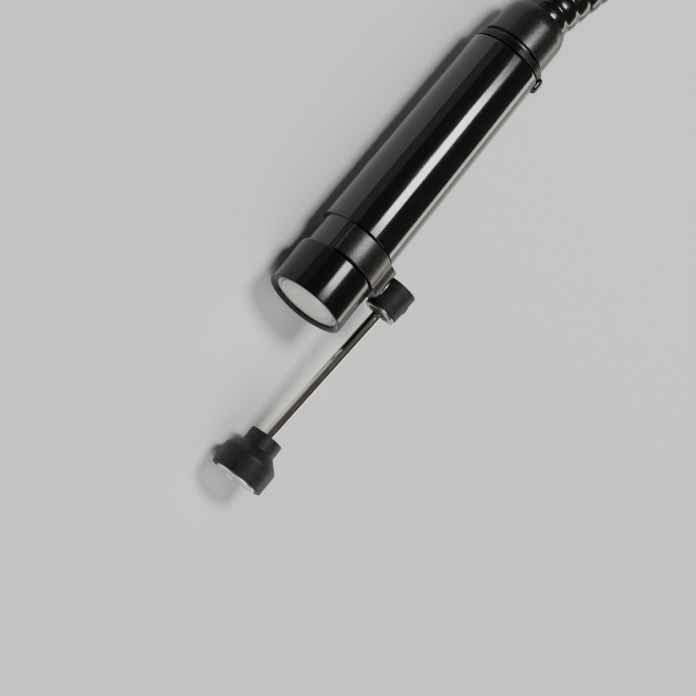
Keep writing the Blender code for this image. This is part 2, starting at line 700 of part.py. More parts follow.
def make_clip(head):
    """The spring band with its flat seat, the washer and the rivet that the arm turns on."""
    lip = CLIP_WALL / band_outside
    steps = 34
    spread = CLIP_HALF_WRAP - lip
    angles = [-spread + 2 * spread * step / steps for step in range(steps + 1)]
    angles = [-CLIP_HALF_WRAP, *angles, CLIP_HALF_WRAP]
    work = bmesh.new()
    rings = []
    for angle in angles:
        sweep = [
            work.verts.new((-station, -radius * math.sin(angle), radius * math.cos(angle)))
            for station, radius in clip_section(angle)
        ]
        rings.append(sweep)
    for first, second in zip(rings, rings[1:]):
        for index in range(len(first)):
            last = index - 1
            work.faces.new((first[last], first[index], second[index], second[last]))
    work.faces.new(rings[0])
    work.faces.new(rings[-1])
    bmesh.ops.recalc_face_normals(work, faces=work.faces)
    steel = finish("clip_band_black_steel", (0.02, 0.02, 0.021), 0.4, 0.3)
    band = add_piece("clip_band", work, head, steel)

    pivot = empty("pivot_axis", head, (-pivot_station, 0, 0))
    hole = RIVET_RADIUS + RUNNING
    pocket = RIVET_HEAD_RADIUS + RUNNING
    corners = [(0, 0), (0, pocket), (rivet_pocket, pocket), (rivet_pocket, hole)]
    corners += [(seat_height + BLOCK_RADIUS, hole), (seat_height + BLOCK_RADIUS, 0)]
    guide = turned_upright(corners, closed=False)
    cut(band, add_piece("rivet_pocket_guide", guide, pivot, steel))

    washer = ring_outline(washer_bottom, washer_top, hole, WASHER_RADIUS)
    zinc = finish("pivot_washer_zinc", (0.62, 0.62, 0.60), 0.3, 1.0)
    add_piece("pivot_washer", turned_upright(washer), pivot, zinc)

    corners = [
        (rivet_foot, 0, 0),
        (rivet_foot, RIVET_HEAD_RADIUS, 0),
        (rivet_foot + RIVET_FOOT_HEIGHT, RIVET_HEAD_RADIUS, 0),
        (rivet_foot + RIVET_FOOT_HEIGHT, RIVET_RADIUS, 0),
        (rivet_top, RIVET_RADIUS, 0),
        (rivet_top, RIVET_HEAD_RADIUS, 0),
        (rivet_top + RIVET_HEAD_HEIGHT, RIVET_HEAD_RADIUS, RIVET_HEAD_HEIGHT),
        (rivet_top + RIVET_HEAD_HEIGHT, 0, 0),
    ]
    nickel = finish("pivot_rivet_nickel", (0.7, 0.69, 0.66), 0.22, 1.0)
    add_piece("pivot_rivet", turned_upright(rounded(corners), closed=False), pivot, nickel)


def make_arm(head):
    """The pivot block, its ring and grommet, the rod, and the boot with its magnet."""
    arm = empty("arm_pivot", head, (-pivot_station, 0, arm_height), (0, 0, ARM_SWING))
    half = BLOCK_LENGTH / 2
    socket = ring_bore + RESTING
    socket_floor = half - SOCKET_DEPTH
    corners = [
        (-half, 0, 0),
        (-half, BLOCK_RADIUS, BLOCK_REAR_EDGE),
        (half, BLOCK_RADIUS, COLLAR_EDGE),
        (half, socket, 0),
        (socket_floor, socket, 0),
        (socket_floor, 0, 0),
    ]
    work = lathe(rounded(corners), closed=False, towards=1)
    everything = list(work.verts) + list(work.edges) + list(work.faces)
    flat = bmesh.ops.bisect_plane(
        work, geom=everything, plane_co=(0, 0, -block_flat), plane_no=(0, 0, -1), clear_outer=True
    )
    rim = [part for part in flat["geom_cut"] if isinstance(part, bmesh.types.BMEdge)]
    bmesh.ops.contextual_create(work, geom=rim)
    bmesh.ops.recalc_face_normals(work, faces=work.faces)
    matte = finish("pivot_block_charcoal", (0.035, 0.035, 0.037), 0.55, 0.0)
    block = add_piece("pivot_block", work, arm, matte)
    bore = plug_outline(-2 * BLOCK_RADIUS, 2 * BLOCK_RADIUS, RIVET_RADIUS + RUNNING)
    cut(block, add_piece("pivot_bore_guide", turned_upright(bore, closed=False), arm, matte))

    ring = ring_outline(half + RESTING, ring_front, ring_bore, ring_radius, CLIP_EDGE)
    nickel = finish("socket_ring_nickel", (0.66, 0.66, 0.64), 0.25, 1.0)
    add_piece("socket_ring", lathe(ring, SMALL_SIDES, towards=1), arm, nickel)

    grommet_bore = ROD_RADIUS + RESTING
    grommet = ring_outline(
        socket_floor + RESTING, ring_front + RESTING, grommet_bore, ring_bore - RESTING, CLIP_EDGE
    )
    rubber = finish("rod_grommet_rubber", (0.015, 0.015, 0.015), 0.65, 0.0)
    add_piece("rod_grommet", lathe(grommet, SMALL_SIDES, towards=1), arm, rubber)

    rod = plug_outline(
        socket_floor + RESTING, boot_mouth + rod_insertion, ROD_RADIUS, RESTING
    )
    chrome = finish("rod_polished_steel", (0.72, 0.73, 0.72), 0.08, 1.0)
    add_piece("rod", lathe(rod, SMALL_SIDES, closed=False, towards=1), arm, chrome)
    make_boot(arm)


def make_boot(arm):
    """The rubber boot, tilted on the rod's end, with the steel pot and the magnet in its cup."""
    mouth = empty("boot_mouth", arm, (boot_mouth, 0, 0), (0, -BOOT_TILT, 0))
    cup_bore = BOOT_RIM_RADIUS - BOOT_WALL
    corners = [
        (0, 0, 0),
        (0, BOOT_NECK_RADIUS, COLLAR_EDGE),
        (BOOT_NECK_LENGTH, BOOT_NECK_RADIUS, LINK_EDGE),
        (boot_shoulder, boot_shoulder_radius, BLOCK_REAR_EDGE),
        (boot_rim, BOOT_RIM_RADIUS, COLLAR_EDGE),
        (boot_rim, cup_bore, 0),
        (cup_floor, cup_bore, 0),
        (cup_floor, 0, 0),
    ]
    matte = finish("magnet_boot_rubber", (0.022, 0.022, 0.023), 0.62, 0.0)
    boot = lathe(rounded(corners), closed=False, towards=1)
    boot = add_piece("magnet_boot", boot, mouth, matte)
    bore_end = boot_mouth + rod_insertion + RUNNING
    bore = plug_outline(boot_mouth - rod_insertion, bore_end, ROD_RADIUS + RUNNING)
    bore = lathe(bore, SMALL_SIDES, closed=False, towards=1)
    cut(boot, add_piece("rod_bore_guide", bore, arm, matte))

    pot_front = boot_rim + POT_PROUD
    pot_back = cup_floor + RUNNING
    pot_radius = cup_bore - RUNNING
    magnet_bore = pot_radius - POT_WALL
    magnet_floor = pot_back + POT_FLOOR
    corners = [
        (pot_back, 0, 0),
        (pot_back, pot_radius, CLIP_EDGE),
        (pot_front, pot_radius, CLIP_EDGE),
        (pot_front, magnet_bore, 0),
        (magnet_floor, magnet_bore, 0),
        (magnet_floor, 0, 0),
    ]
    steel = finish("magnet_pot_nickel", (0.72, 0.74, 0.71), 0.22, 1.0)
    add_piece("magnet_pot", lathe(rounded(corners), closed=False, towards=1), mouth, steel)

    disc = plug_outline(magnet_floor + RESTING, pot_front, magnet_bore - RESTING, CLIP_EDGE)
    plate = finish("magnet_disc_nickel", (0.70, 0.71, 0.70), 0.3, 1.0)
    disc = lathe(disc, SMALL_SIDES, closed=False, towards=1)
    add_piece("magnet_disc", disc, mouth, plate)


def centre_on_floor(root):
    """Move the tool so that the middle of its box's bottom is the origin."""
    bpy.context.view_layer.update()
    graph = bpy.context.evaluated_depsgraph_get()
    corners = []
    for item in bpy.data.objects:
        if item.type == "EMPTY" or item.hide_render:
            continue
        solid = item.evaluated_get(graph)
        mesh = solid.to_mesh()
        corners += [item.matrix_world @ vert.co for vert in mesh.vertices]
        solid.to_mesh_clear()
    low = [min(corner[axis] for corner in corners) for axis in range(3)]
    high = [max(corner[axis] for corner in corners) for axis in range(3)]
    root.location = (-(low[0] + high[0]) / 2, -(low[1] + high[1]) / 2, -low[2])
    bpy.context.view_layer.update()


def main():
    clear_scene()
    root = empty("tool_origin")
    axis = empty("barrel_axis", root, (0, 0, band_outside))
    roll = lug_elevation() - math.pi / 2
    head = empty("lug_frame", axis, rotation=(roll, 0, 0))
    make_head(head)
    make_barrel(head)
    make_collar(head)
    make_clip(head)
    make_arm(head)
    tail = empty("tail_axis", axis, (-tail_station, 0, 0), (0, 0, -CAP_TILT))
    make_tail(tail)
    grip = make_links(tail)
    make_grip(grip)
    centre_on_floor(root)


main()
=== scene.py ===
# %% [markdown]
# # A lighted magnetic pickup tool
#
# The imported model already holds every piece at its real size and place, with its joints. It is
# made of flat facets, though, so this lesson draws each visible piece again as a smooth surface
# worked out with numpy, puts it exactly where its plain solid is, and gives it a finish made of
# shader nodes.

# %% Load the frame
import json
import math
import bpy
import numpy as np
from mathutils import Matrix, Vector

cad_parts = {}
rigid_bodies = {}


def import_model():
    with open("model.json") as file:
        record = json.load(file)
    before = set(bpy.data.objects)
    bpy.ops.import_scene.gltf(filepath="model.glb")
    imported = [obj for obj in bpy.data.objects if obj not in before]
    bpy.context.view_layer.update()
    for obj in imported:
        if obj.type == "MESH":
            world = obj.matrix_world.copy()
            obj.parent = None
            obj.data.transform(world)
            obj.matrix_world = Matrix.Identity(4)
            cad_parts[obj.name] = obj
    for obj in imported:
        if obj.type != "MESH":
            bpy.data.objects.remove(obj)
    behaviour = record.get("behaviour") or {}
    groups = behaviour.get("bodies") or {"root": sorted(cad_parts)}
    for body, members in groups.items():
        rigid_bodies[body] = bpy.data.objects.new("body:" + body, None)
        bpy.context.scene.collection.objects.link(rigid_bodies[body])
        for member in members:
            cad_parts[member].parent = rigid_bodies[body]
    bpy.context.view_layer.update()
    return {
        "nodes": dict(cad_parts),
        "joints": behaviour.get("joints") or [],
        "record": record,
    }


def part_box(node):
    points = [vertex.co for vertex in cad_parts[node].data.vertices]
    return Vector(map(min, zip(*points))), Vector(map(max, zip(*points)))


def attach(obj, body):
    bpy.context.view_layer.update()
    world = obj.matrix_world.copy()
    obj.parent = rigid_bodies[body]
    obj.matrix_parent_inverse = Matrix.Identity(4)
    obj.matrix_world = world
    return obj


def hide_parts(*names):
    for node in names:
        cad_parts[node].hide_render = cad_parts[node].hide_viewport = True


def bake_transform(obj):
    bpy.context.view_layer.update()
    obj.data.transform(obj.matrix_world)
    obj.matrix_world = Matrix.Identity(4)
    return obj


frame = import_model()
MM = 0.001
joints = {joint["name"]: joint for joint in frame["joints"]}
mounts = {mount["name"]: mount for mount in frame["record"]["mounts"]}

# %% [markdown]
# Each group of pieces has its own small frame: an origin and three directions. The head's frame
# starts at the middle of the bezel's rim and its third direction points at the arm's pivot. The
# arm's, boot's and grip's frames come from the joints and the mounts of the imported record, so
# nothing has to be fitted by eye.

# %% Frames of the head, the arm, the boot, the tail and the grip
ARM_SWING = math.radians(8.0)
CAP_TILT = math.radians(3.5)
HINGE_BEHIND_TAIL = 7.90 * MM


def unit(vector):
    """The vector divided by its own length."""
    vector = np.array(vector, float)
    return vector / np.linalg.norm(vector)


ahead = np.array([1.0, 0.0, 0.0])
upward = np.array([0.0, 0.0, 1.0])
lug = unit(joints["arm_swing"]["axis"])
across = np.cross(lug, ahead)
rim_centre = np.array(joints["clip_turn"]["pos_m"])
rim_centre[0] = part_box("bezel_shell")[1].x
head = (rim_centre, np.array([ahead, across, lug]))

pivot = np.array(joints["arm_swing"]["pos_m"])
rod_way = math.cos(ARM_SWING) * ahead + math.sin(ARM_SWING) * across
arm = (pivot, np.array([rod_way, np.cross(lug, rod_way), lug]))

boot_way = unit(mounts["magnet_face"]["axis"])
boot_side = arm[1][1]
magnet_face = np.array(mounts["magnet_face"]["pos_m"])
boot = (magnet_face, np.array([boot_way, boot_side, np.cross(boot_way, boot_side)]))

tail_way = np.array([math.cos(CAP_TILT), -math.sin(CAP_TILT), 0.0])
first_hinge = np.array(joints["neck_side"]["pos_m"])
tail_origin = first_hinge + HINGE_BEHIND_TAIL * tail_way
tail = (tail_origin, np.array([tail_way, np.cross(upward, tail_way), upward]))

last_hinge = np.array(joints["neck_lift_12"]["pos_m"])
grip_way = unit(last_hinge - np.array(mounts["tail_face"]["pos_m"]))
grip = (last_hinge, np.array([grip_way, np.cross(upward, grip_way), upward]))
print("rim centre", rim_centre.round(4), "pivot", pivot.round(4), "last hinge", last_hinge.round(4))

# %% [markdown]
# The camera looks at the head from above, a little in front of it, and rolled so that the
# barrel climbs to the right. It stands far away with a long lens, which keeps the barrel's
# sides nearly parallel. Its directions are built from the barrel's own: how far the lens is
# tipped towards the camera, and how far the barrel leans from upright in the view. The rim's
# centre is kept a little left of the middle of the view and above it.

# %% Camera
LENS_TIP = math.radians(16.9)
BARREL_LEAN = math.radians(39.2)
PIVOT_TURN = math.radians(20.0)  # the pivot is turned this far behind the barrel's right edge
VIEW_WIDTH = 109.3 * MM
RIM_LEFT = 6.81 * MM
RIM_UP = 6.80 * MM
CAMERA_DISTANCE = 0.9
SENSOR = 36.0

right_edge = math.cos(PIVOT_TURN) * lug - math.sin(PIVOT_TURN) * across
towards_camera = -math.sin(PIVOT_TURN) * lug - math.cos(PIVOT_TURN) * across
camera_way = math.sin(LENS_TIP) * ahead + math.cos(LENS_TIP) * towards_camera
rearward = unit(-ahead + ahead @ camera_way * camera_way)
view_right = math.sin(BARREL_LEAN) * rearward + math.cos(BARREL_LEAN) * right_edge
view_up = math.cos(BARREL_LEAN) * rearward - math.sin(BARREL_LEAN) * right_edge
aim = rim_centre + RIM_LEFT * view_right - RIM_UP * view_up

camera_data = bpy.data.cameras.new("camera")
camera_data.lens = SENSOR * CAMERA_DISTANCE / VIEW_WIDTH
camera_data.sensor_width = SENSOR
camera_data.clip_start = 0.01
camera = bpy.data.objects.new("camera", camera_data)
axes = Matrix([view_right, view_up, camera_way]).transposed().to_4x4()
camera.matrix_world = Matrix.Translation(aim + CAMERA_DISTANCE * camera_way) @ axes
bpy.context.scene.collection.objects.link(camera)
bpy.context.scene.camera = camera
print("camera looks from", camera_way.round(3), "with a lens of", round(camera_data.lens), "mm")

# %% [markdown]
# Black gloss shows little but reflections, so three of the lights are placed by the mirror
# rule: for a normal n and a camera direction c, the light that is mirrored comes from
# 2(n.c)n - c. The key panel sits where the barrel's bright stripe needs it, and its width sets
# the stripe's width. The near_side panel gives the right-hand side a warm band, and the
# far_side panel, wide and dim, greys the shoulder on the left. The fourth, a large wash from
# ahead and above, lights the floor and everything that isn't glossy.

# %% Floor, world and lights
STRIPE_ANGLE = math.radians(12.3)
KEY_DISTANCE = 0.9
KEY_WIDTH = 0.30
KEY_LENGTH = 0.17
KEY_BEHIND = 66 * MM
FLOOR_GAP = 0.2 * MM


def mirrored(angle):
    """The direction that the barrel mirrors to the camera at this angle round from its front."""
    normal = math.cos(angle) * towards_camera + math.sin(angle) * right_edge
    return unit(2 * (normal @ camera_way) * normal - camera_way)


def add_panel(name, way, distance, size, power, colour, behind=30 * MM):
    """A rectangular light that faces back along way to a point this far behind the rim."""
    middle = rim_centre - behind * ahead
    data = bpy.data.lights.new(name, "AREA")
    data.shape = "RECTANGLE"
    data.size, data.size_y = size
    data.energy = power
    data.color = colour
    side = unit(np.cross(way, np.cross(ahead, way)))
    panel = bpy.data.objects.new(name, data)
    turn = Matrix([side, np.cross(way, side), way]).transposed().to_4x4()
    panel.matrix_world = Matrix.Translation(middle + distance * way) @ turn
    bpy.context.scene.collection.objects.link(panel)


add_panel("key", mirrored(STRIPE_ANGLE), KEY_DISTANCE, (KEY_LENGTH, KEY_WIDTH), 7.2,
          (1.0, 0.99, 0.97), KEY_BEHIND)
add_panel("near_side", mirrored(math.radians(57)), 0.9, (0.8, 0.22), 3.6, (1.0, 0.95, 0.80))
add_panel("far_side", mirrored(math.radians(-21)), 1.2, (1.0, 0.45), 0.40, (1.0, 0.97, 0.92))
add_panel("wash", unit([0.80, 0.25, 0.62]), 1.6, (1.2, 1.2), 20.0, (1.0, 0.98, 0.95))

world = bpy.data.worlds.new("studio")
world.use_nodes = True
world.node_tree.nodes["Background"].inputs["Color"].default_value = (0.80, 0.86, 0.93, 1.0)
world.node_tree.nodes["Background"].inputs["Strength"].default_value = 0.10
bpy.context.scene.world = world

bpy.ops.mesh.primitive_plane_add(size=3.0, location=(0.0, 0.0, -FLOOR_GAP))
floor = bpy.context.object
floor.name = "floor"
floor_finish = bpy.data.materials.new("floor_finish")
floor_finish.use_nodes = True
floor_shader = floor_finish.node_tree.nodes["Principled BSDF"]
floor_shader.inputs["Base Color"].default_value = (0.74, 0.75, 0.76, 1.0)
floor_shader.inputs["Roughness"].default_value = 0.75
floor.data.materials.append(floor_finish)
print("four panels, a pale world and a floor")

# %% [markdown]
# Most of the tool was turned on a lathe or moulded round, so one helper carries most of the
# work: an outline of (station, radius) points is spun about an axis. The sharp corners of an
# outline are first replaced by short curves, because real edges are never perfectly sharp and
# the thin highlight along a rounded edge is what makes a black object readable.

# %% Outlines with rounded corners
CURVE_STEPS = 7
FILLET_LIMIT = 0.48  # a fillet takes at most this share of the shorter side


def rounded(corners, steps=CURVE_STEPS):
    """Corners (station, radius, fillet) in mm to an outline in metres.

    Each corner P becomes the curve (1-t)^2 A + 2t(1-t) P + t^2 B, where A and B lie one
    fillet away from P on its two sides.
    """
    corners = np.array(corners, float) * MM
    points, fillets = corners[:, :2], corners[:, 2:]
    to_last = np.roll(points, 1, axis=0) - points
    to_next = np.roll(points, -1, axis=0) - points
    last_length = np.linalg.norm(to_last, axis=1, keepdims=True)
    next_length = np.linalg.norm(to_next, axis=1, keepdims=True)
    reach = np.minimum(fillets, FILLET_LIMIT * np.minimum(last_length, next_length))
    begin = points + to_last / last_length * reach
    end = points + to_next / next_length * reach
    t = np.linspace(0, 1, steps)[:, None, None]
    curve = (1 - t) ** 2 * begin + 2 * t * (1 - t) * points + t**2 * end
    outline = curve.transpose(1, 0, 2).reshape(-1, 2)
    moved = np.linalg.norm(np.diff(outline, axis=0, prepend=outline[:1] - 1), axis=1) > 1e-8
    return outline[moved]


print("a square corner becomes", len(rounded([(0, 0, 1), (0, 4, 1), (4, 4, 1)])), "points")

# %% [markdown]
# A mesh only needs a grid of points and the quads between them. The next helper joins a grid
# whose rows and columns may wrap round, closes a row that has shrunk to one point with
# triangles, measures the signed volume, and turns the faces round if it is negative.

# %% From a grid of points to a closed mesh
def grid_faces(rows, columns, wrap_rows):
    """Quads between neighbouring points of a grid whose columns always wrap round."""
    index = np.arange(rows * columns).reshape(rows, columns)
    upper = index if wrap_rows else index[:-1]
    lower = np.roll(index, -1, axis=0) if wrap_rows else index[1:]
    across_one = np.roll(upper, -1, axis=1)
    lower_one = np.roll(lower, -1, axis=1)
    return np.stack([upper, across_one, lower_one, lower], axis=-1).reshape(-1, 4)


def solid(name, grid, wrap_rows, sharp=30.0):
    """A closed mesh from a (rows, columns, 3) grid; open end rows are closed with a fan.

    Volume = sum over triangles of a.(b x c) / 6, which is positive when faces point outward.
    """
    rows, columns = grid.shape[:2]
    points = grid.reshape(-1, 3)
    quads = grid_faces(rows, columns, wrap_rows)
    faces = quads.tolist()
    triangles = np.concatenate([quads[:, [0, 1, 2]], quads[:, [0, 2, 3]]])
    if not wrap_rows:
        ends = np.stack([grid[0].mean(axis=0), grid[-1].mean(axis=0)])
        first, last = len(points), len(points) + 1
        points = np.concatenate([points, ends])
        ring = np.arange(columns)
        top = np.stack([np.full(columns, first), np.roll(ring, -1), ring], axis=1)
        base = (rows - 1) * columns
        bottom = np.stack([np.full(columns, last), base + ring, base + np.roll(ring, -1)], axis=1)
        faces += top.tolist() + bottom.tolist()
        triangles = np.concatenate([triangles, top, bottom])
    centred = points - points.mean(axis=0)
    a, b, c = (centred[triangles[:, k]] for k in range(3))
    if np.einsum("ij,ij->i", a, np.cross(b, c)).sum() < 0:
        faces = [face[::-1] for face in faces]
    mesh = bpy.data.meshes.new(name)
    mesh.from_pydata(points, [], faces)
    mesh.shade_smooth()
    mesh.set_sharp_from_angle(angle=math.radians(sharp))
    return mesh


print("an open grid of 4 rows by 6 points makes", len(grid_faces(4, 6, False)), "quads")

# %% [markdown]
# The lathe spins an outline about the first direction of a frame. The points are worked out
# inside that frame, and then carried to their real place.

# %% The lathe
def placed(points, where):
    """Points of a frame, given as (origin, directions), at their place in the whole tool."""
    return where[0] + points @ where[1]


def turned(name, outline, where, towards=-1.0, sides=96, sharp=30.0):
    """Spin an outline: x = towards * station, y = radius sin(a), z = radius cos(a).

    An outline that starts and ends on the axis is closed by a small fan at each end. Any
    other outline is a ring, and its last point joins its first.
    """
    station, radius = outline[:, 0], outline[:, 1]
    on_axis = radius[0] < 1e-9 and radius[-1] < 1e-9
    if on_axis:
        station, radius = station[1:-1], radius[1:-1]
    turn = np.linspace(0, math.tau, sides, endpoint=False)
    x = np.broadcast_to(towards * station[:, None], (len(station), sides))
    y = radius[:, None] * np.sin(turn)
    z = radius[:, None] * np.cos(turn)
    return solid(name, placed(np.stack([x, y, z], axis=-1), where), not on_axis, sharp)


print("the head's frame starts at", placed(np.zeros(3), head).round(4))

# %% [markdown]
# Every piece is added in the same way. It gets its finish, the plain solids that it stands for,
# and the body that it rides on.

# %% Adding a piece
def add_piece(name, mesh, material, body, slot, *nodes):
    """Show a mesh as a piece that rides on a body and stands for its plain solids."""
    mesh.materials.append(material)
    piece = bpy.data.objects.new(name, mesh)
    bpy.context.scene.collection.objects.link(piece)
    if nodes:
        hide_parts(*nodes)
    if body:
        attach(piece, body)
    print(name, len(mesh.polygons), "faces")
    return piece


# %% [markdown]
# A finish is more than a colour. Moulded plastic has a fine grain and small changes of gloss,
# anodised metal has faint draw lines, and rubber is mottled. All of them start from a noise
# read in Object coordinates. Stretching it along one direction turns specks into draw lines.

# %% Noises
def noise_value(tree, grain, detail, stretch):
    """A noise whose specks are about grain wide, stretched by a Mapping node."""
    coordinate = tree.nodes.new("ShaderNodeTexCoord")
    mapping = tree.nodes.new("ShaderNodeMapping")
    mapping.inputs["Scale"].default_value = stretch
    noise = tree.nodes.new("ShaderNodeTexNoise")
    noise.inputs["Scale"].default_value = 1.0 / grain
    noise.inputs["Detail"].default_value = detail
    tree.links.new(coordinate.outputs["Object"], mapping.inputs["Vector"])
    tree.links.new(mapping.outputs["Vector"], noise.inputs["Vector"])
    return noise.outputs["Fac"]


def spread(tree, value, low, high):
    """The noise's middle range 0.3 to 0.7, spread from low to high."""
    node = tree.nodes.new("ShaderNodeMapRange")
    node.inputs["From Min"].default_value = 0.3
    node.inputs["From Max"].default_value = 0.7
    node.inputs["To Min"].default_value = low
    node.inputs["To Max"].default_value = high
    tree.links.new(value, node.inputs["Value"])
    return node.outputs["Result"]


DRAWN = (0.06, 1.0, 1.0)
print("draw lines are specks made", round(1 / DRAWN[0]), "times longer along the barrel")

# %% [markdown]
# One helper builds a finish from two such noises: a broad one that shifts the colour, and a
# fine one that shifts the roughness and lifts the surface by a few microns. A little sheen,
# called bloom here, stands for the pale haze that handled black parts have.

# %% Finishes
def make_finish(name, colour, gloss, metallic=0.0, grain=0.4, lift=0.004, tint=0.25,
                stretch=(1.0, 1.0, 1.0), coat=0.0, specular=0.5, patches=6.0, bloom=0.0):
    """A Principled finish; gloss is (lowest, highest) roughness, grain and lift are in mm."""
    material = bpy.data.materials.new(name)
    material.use_nodes = True
    tree = material.node_tree
    shader = tree.nodes["Principled BSDF"]
    shader.inputs["Metallic"].default_value = metallic
    shader.inputs["Coat Weight"].default_value = coat
    shader.inputs["Coat Roughness"].default_value = gloss[0] * 0.7
    shader.inputs["Specular IOR Level"].default_value = specular
    shader.inputs["Sheen Weight"].default_value = bloom
    shader.inputs["Sheen Roughness"].default_value = 0.25
    shader.inputs["Sheen Tint"].default_value = (1.0, 0.96, 0.84, 1.0)
    broad = noise_value(tree, grain * patches * MM, 3.0, stretch)
    fine = noise_value(tree, grain * MM, 4.0, stretch)
    ramp = tree.nodes.new("ShaderNodeValToRGB")
    ramp.color_ramp.elements[0].color = (*[c * (1 - tint) for c in colour], 1.0)
    ramp.color_ramp.elements[1].color = (*[min(1.0, c * (1 + tint)) for c in colour], 1.0)
    tree.links.new(spread(tree, broad, 0.0, 1.0), ramp.inputs["Fac"])
    tree.links.new(ramp.outputs["Color"], shader.inputs["Base Color"])
    tree.links.new(spread(tree, fine, *gloss), shader.inputs["Roughness"])
    bump = tree.nodes.new("ShaderNodeBump")
    bump.inputs["Strength"].default_value = 0.6
    bump.inputs["Distance"].default_value = lift * MM
    tree.links.new(fine, bump.inputs["Height"])
    tree.links.new(bump.outputs["Normal"], shader.inputs["Normal"])
    return material


bezel_black = make_finish("bezel_black", (0.0035, 0.0035, 0.004), (0.12, 0.19), grain=0.5,
                          lift=0.002, stretch=DRAWN, specular=0.28, bloom=0.12)
barrel_black = make_finish("barrel_black", (0.003, 0.003, 0.0035), (0.09, 0.16), coat=0.15,
                           grain=0.6, lift=0.0015, stretch=DRAWN, specular=0.5, bloom=0.20)
print("black anodised finishes for the bezel and the barrel")

# %% [markdown]
# ## The head
#
# The bezel is a turned sleeve with a thin lip that holds the lens. It could be made with the
# Screw modifier, but the numpy lathe gives full control over the lip's tiny roundings. Its rear
# edge stops just short of the clip's groove.

# %% Bezel
bezel_outline = rounded([
    (0.10, 6.28, 0.10), (0.00, 6.83, 0.30), (8.10, 6.83, 0.28), (8.10, 6.25, 0.05),
    (0.55, 6.25, 0.00), (0.55, 5.80, 0.00), (0.38, 5.80, 0.08),
])
add_piece("bezel", turned("bezel", bezel_outline, head, sides=160), bezel_black, "bezel",
          "bezel", "bezel_shell")

# %% [markdown]
# The lens is a clear moulding with a faint dome, and rings pressed into its border to spread
# the light. Its front face is a function of the radius: a shallow dome whose height falls with
# the square of the radius, plus a ripple near the edge.

# %% Shape of the lens
LENS_RADIUS = 6.13
LENS_FRONT = 0.67
LENS_BACK = 1.87
DOME = 0.34
RING_START = 3.3
RING_END = 5.7
RING_PITCH = 0.80
RING_DEPTH = 0.26


def lens_outline():
    """Front station = LENS_FRONT - DOME (1 - (r/end)^2) + depth |sin(pi (r - start)/pitch)|."""
    r = np.linspace(0.0, LENS_RADIUS, 200)
    ripple = RING_DEPTH * np.abs(np.sin(math.pi * (r - RING_START) / RING_PITCH))
    ringed = (r > RING_START) & (r < RING_END)
    bulge = DOME * np.clip(1 - (r / RING_END) ** 2, 0, 1)
    front = LENS_FRONT - bulge + np.where(ringed, ripple, 0.0)
    front_face = np.stack([front, r], axis=1)
    back_face = np.array([[LENS_BACK, LENS_RADIUS], [LENS_BACK, 0.0]])
    return np.concatenate([front_face, back_face]) * MM


lens_mesh = turned("lens_glass", lens_outline(), head, sides=128)
print("lens:", len(lens_mesh.vertices), "points")

# %% [markdown]
# The ripple alone is too faint to read as rings, so their light and shade are painted into the
# lens's colour. Each point of the mesh stores its distance from the axis, as a share of the lens's
# radius, and a colour ramp turns that share into painted light and dark rings.

# %% Finish of the lens, with painted ring shading
# painted shading: the (share, grey) stops darken the lens's colour in rings of shade and light
LENS_RING_SHADING = [(0.00, 0.90), (0.62, 1.00), (0.72, 0.80), (0.78, 1.00), (0.83, 0.30), (0.86, 0.72),
              (0.91, 0.80), (0.94, 0.22), (0.97, 0.60)]


def paint_ring_shading(mesh, material, stops):
    """Paint shade rings on a turned piece by distance from the head's axis, from (share, grey) stops.
    """
    points = np.empty(3 * len(mesh.vertices))
    mesh.vertices.foreach_get("co", points)
    away = points.reshape(-1, 3) - rim_centre
    away = np.linalg.norm(away - np.outer(away @ ahead, ahead), axis=1) / (LENS_RADIUS * MM)
    mesh.attributes.new("ring_share", "FLOAT", "POINT").data.foreach_set("value", away)
    tree = material.node_tree
    share = tree.nodes.new("ShaderNodeAttribute")
    share.attribute_name = "ring_share"
    # painted shading: the ramp turns the share into dark and light rings multiplied into the colour
    rings = tree.nodes.new("ShaderNodeValToRGB")
    for _ in stops[2:]:
        rings.color_ramp.elements.new(0.5)
    for element, (place, grey) in zip(rings.color_ramp.elements, stops):
        element.position = place
        element.color = (grey, grey, grey, 1.0)
    shade = tree.nodes.new("ShaderNodeMixRGB")
    shade.blend_type = "MULTIPLY"
    shade.inputs["Fac"].default_value = 1.0
    colour_socket = tree.nodes["Principled BSDF"].inputs["Base Color"]
    tree.links.new(colour_socket.links[0].from_socket, shade.inputs["Color1"])
    tree.links.new(share.outputs["Fac"], rings.inputs["Fac"])
    tree.links.new(rings.outputs["Color"], shade.inputs["Color2"])
    tree.links.new(shade.outputs["Color"], colour_socket)


lens_clear_ring_shaded = make_finish("lens_clear_ring_shaded", (0.88, 0.96, 0.87), (0.06, 0.14), grain=1.2, lift=0.002,
                         tint=0.05)
lens_shader = lens_clear_ring_shaded.node_tree.nodes["Principled BSDF"]
lens_shader.inputs["Transmission Weight"].default_value = 0.42
lens_shader.inputs["IOR"].default_value = 1.49
paint_ring_shading(lens_mesh, lens_clear_ring_shaded, LENS_RING_SHADING)
add_piece("lens_glass", lens_mesh, lens_clear_ring_shaded, "lens_carrier", "lens", "lens")

# %% [markdown]
# Behind the lens, the reflector is a small parabolic cup. A parabola opens as the square root
# of the distance from its base, so stepping evenly in the square of the radius puts more
# points where it curves most. The light source is a yellow dome on a flat disc.

# %% Reflector, light source and lens seal
def reflector_outline():
    """Inner wall: station = back - depth (r^2 - hole^2) / (mouth^2 - hole^2)."""
    depth, back, hole, mouth, wall = 3.6, 6.21, 2.0, 5.43, 0.35
    square = np.linspace(hole**2, mouth**2, 40)
    r = np.sqrt(square)
    station = back - depth * (square - hole**2) / (mouth**2 - hole**2)
    inner = np.stack([station, r], axis=1)
    flange = np.array([[back - depth, 6.13], [back - depth + wall, 6.13]])
    outer = np.stack([station[::-1] + wall * 0.3, r[::-1] + wall], axis=1)[2:]
    return np.concatenate([inner, flange, outer]) * MM


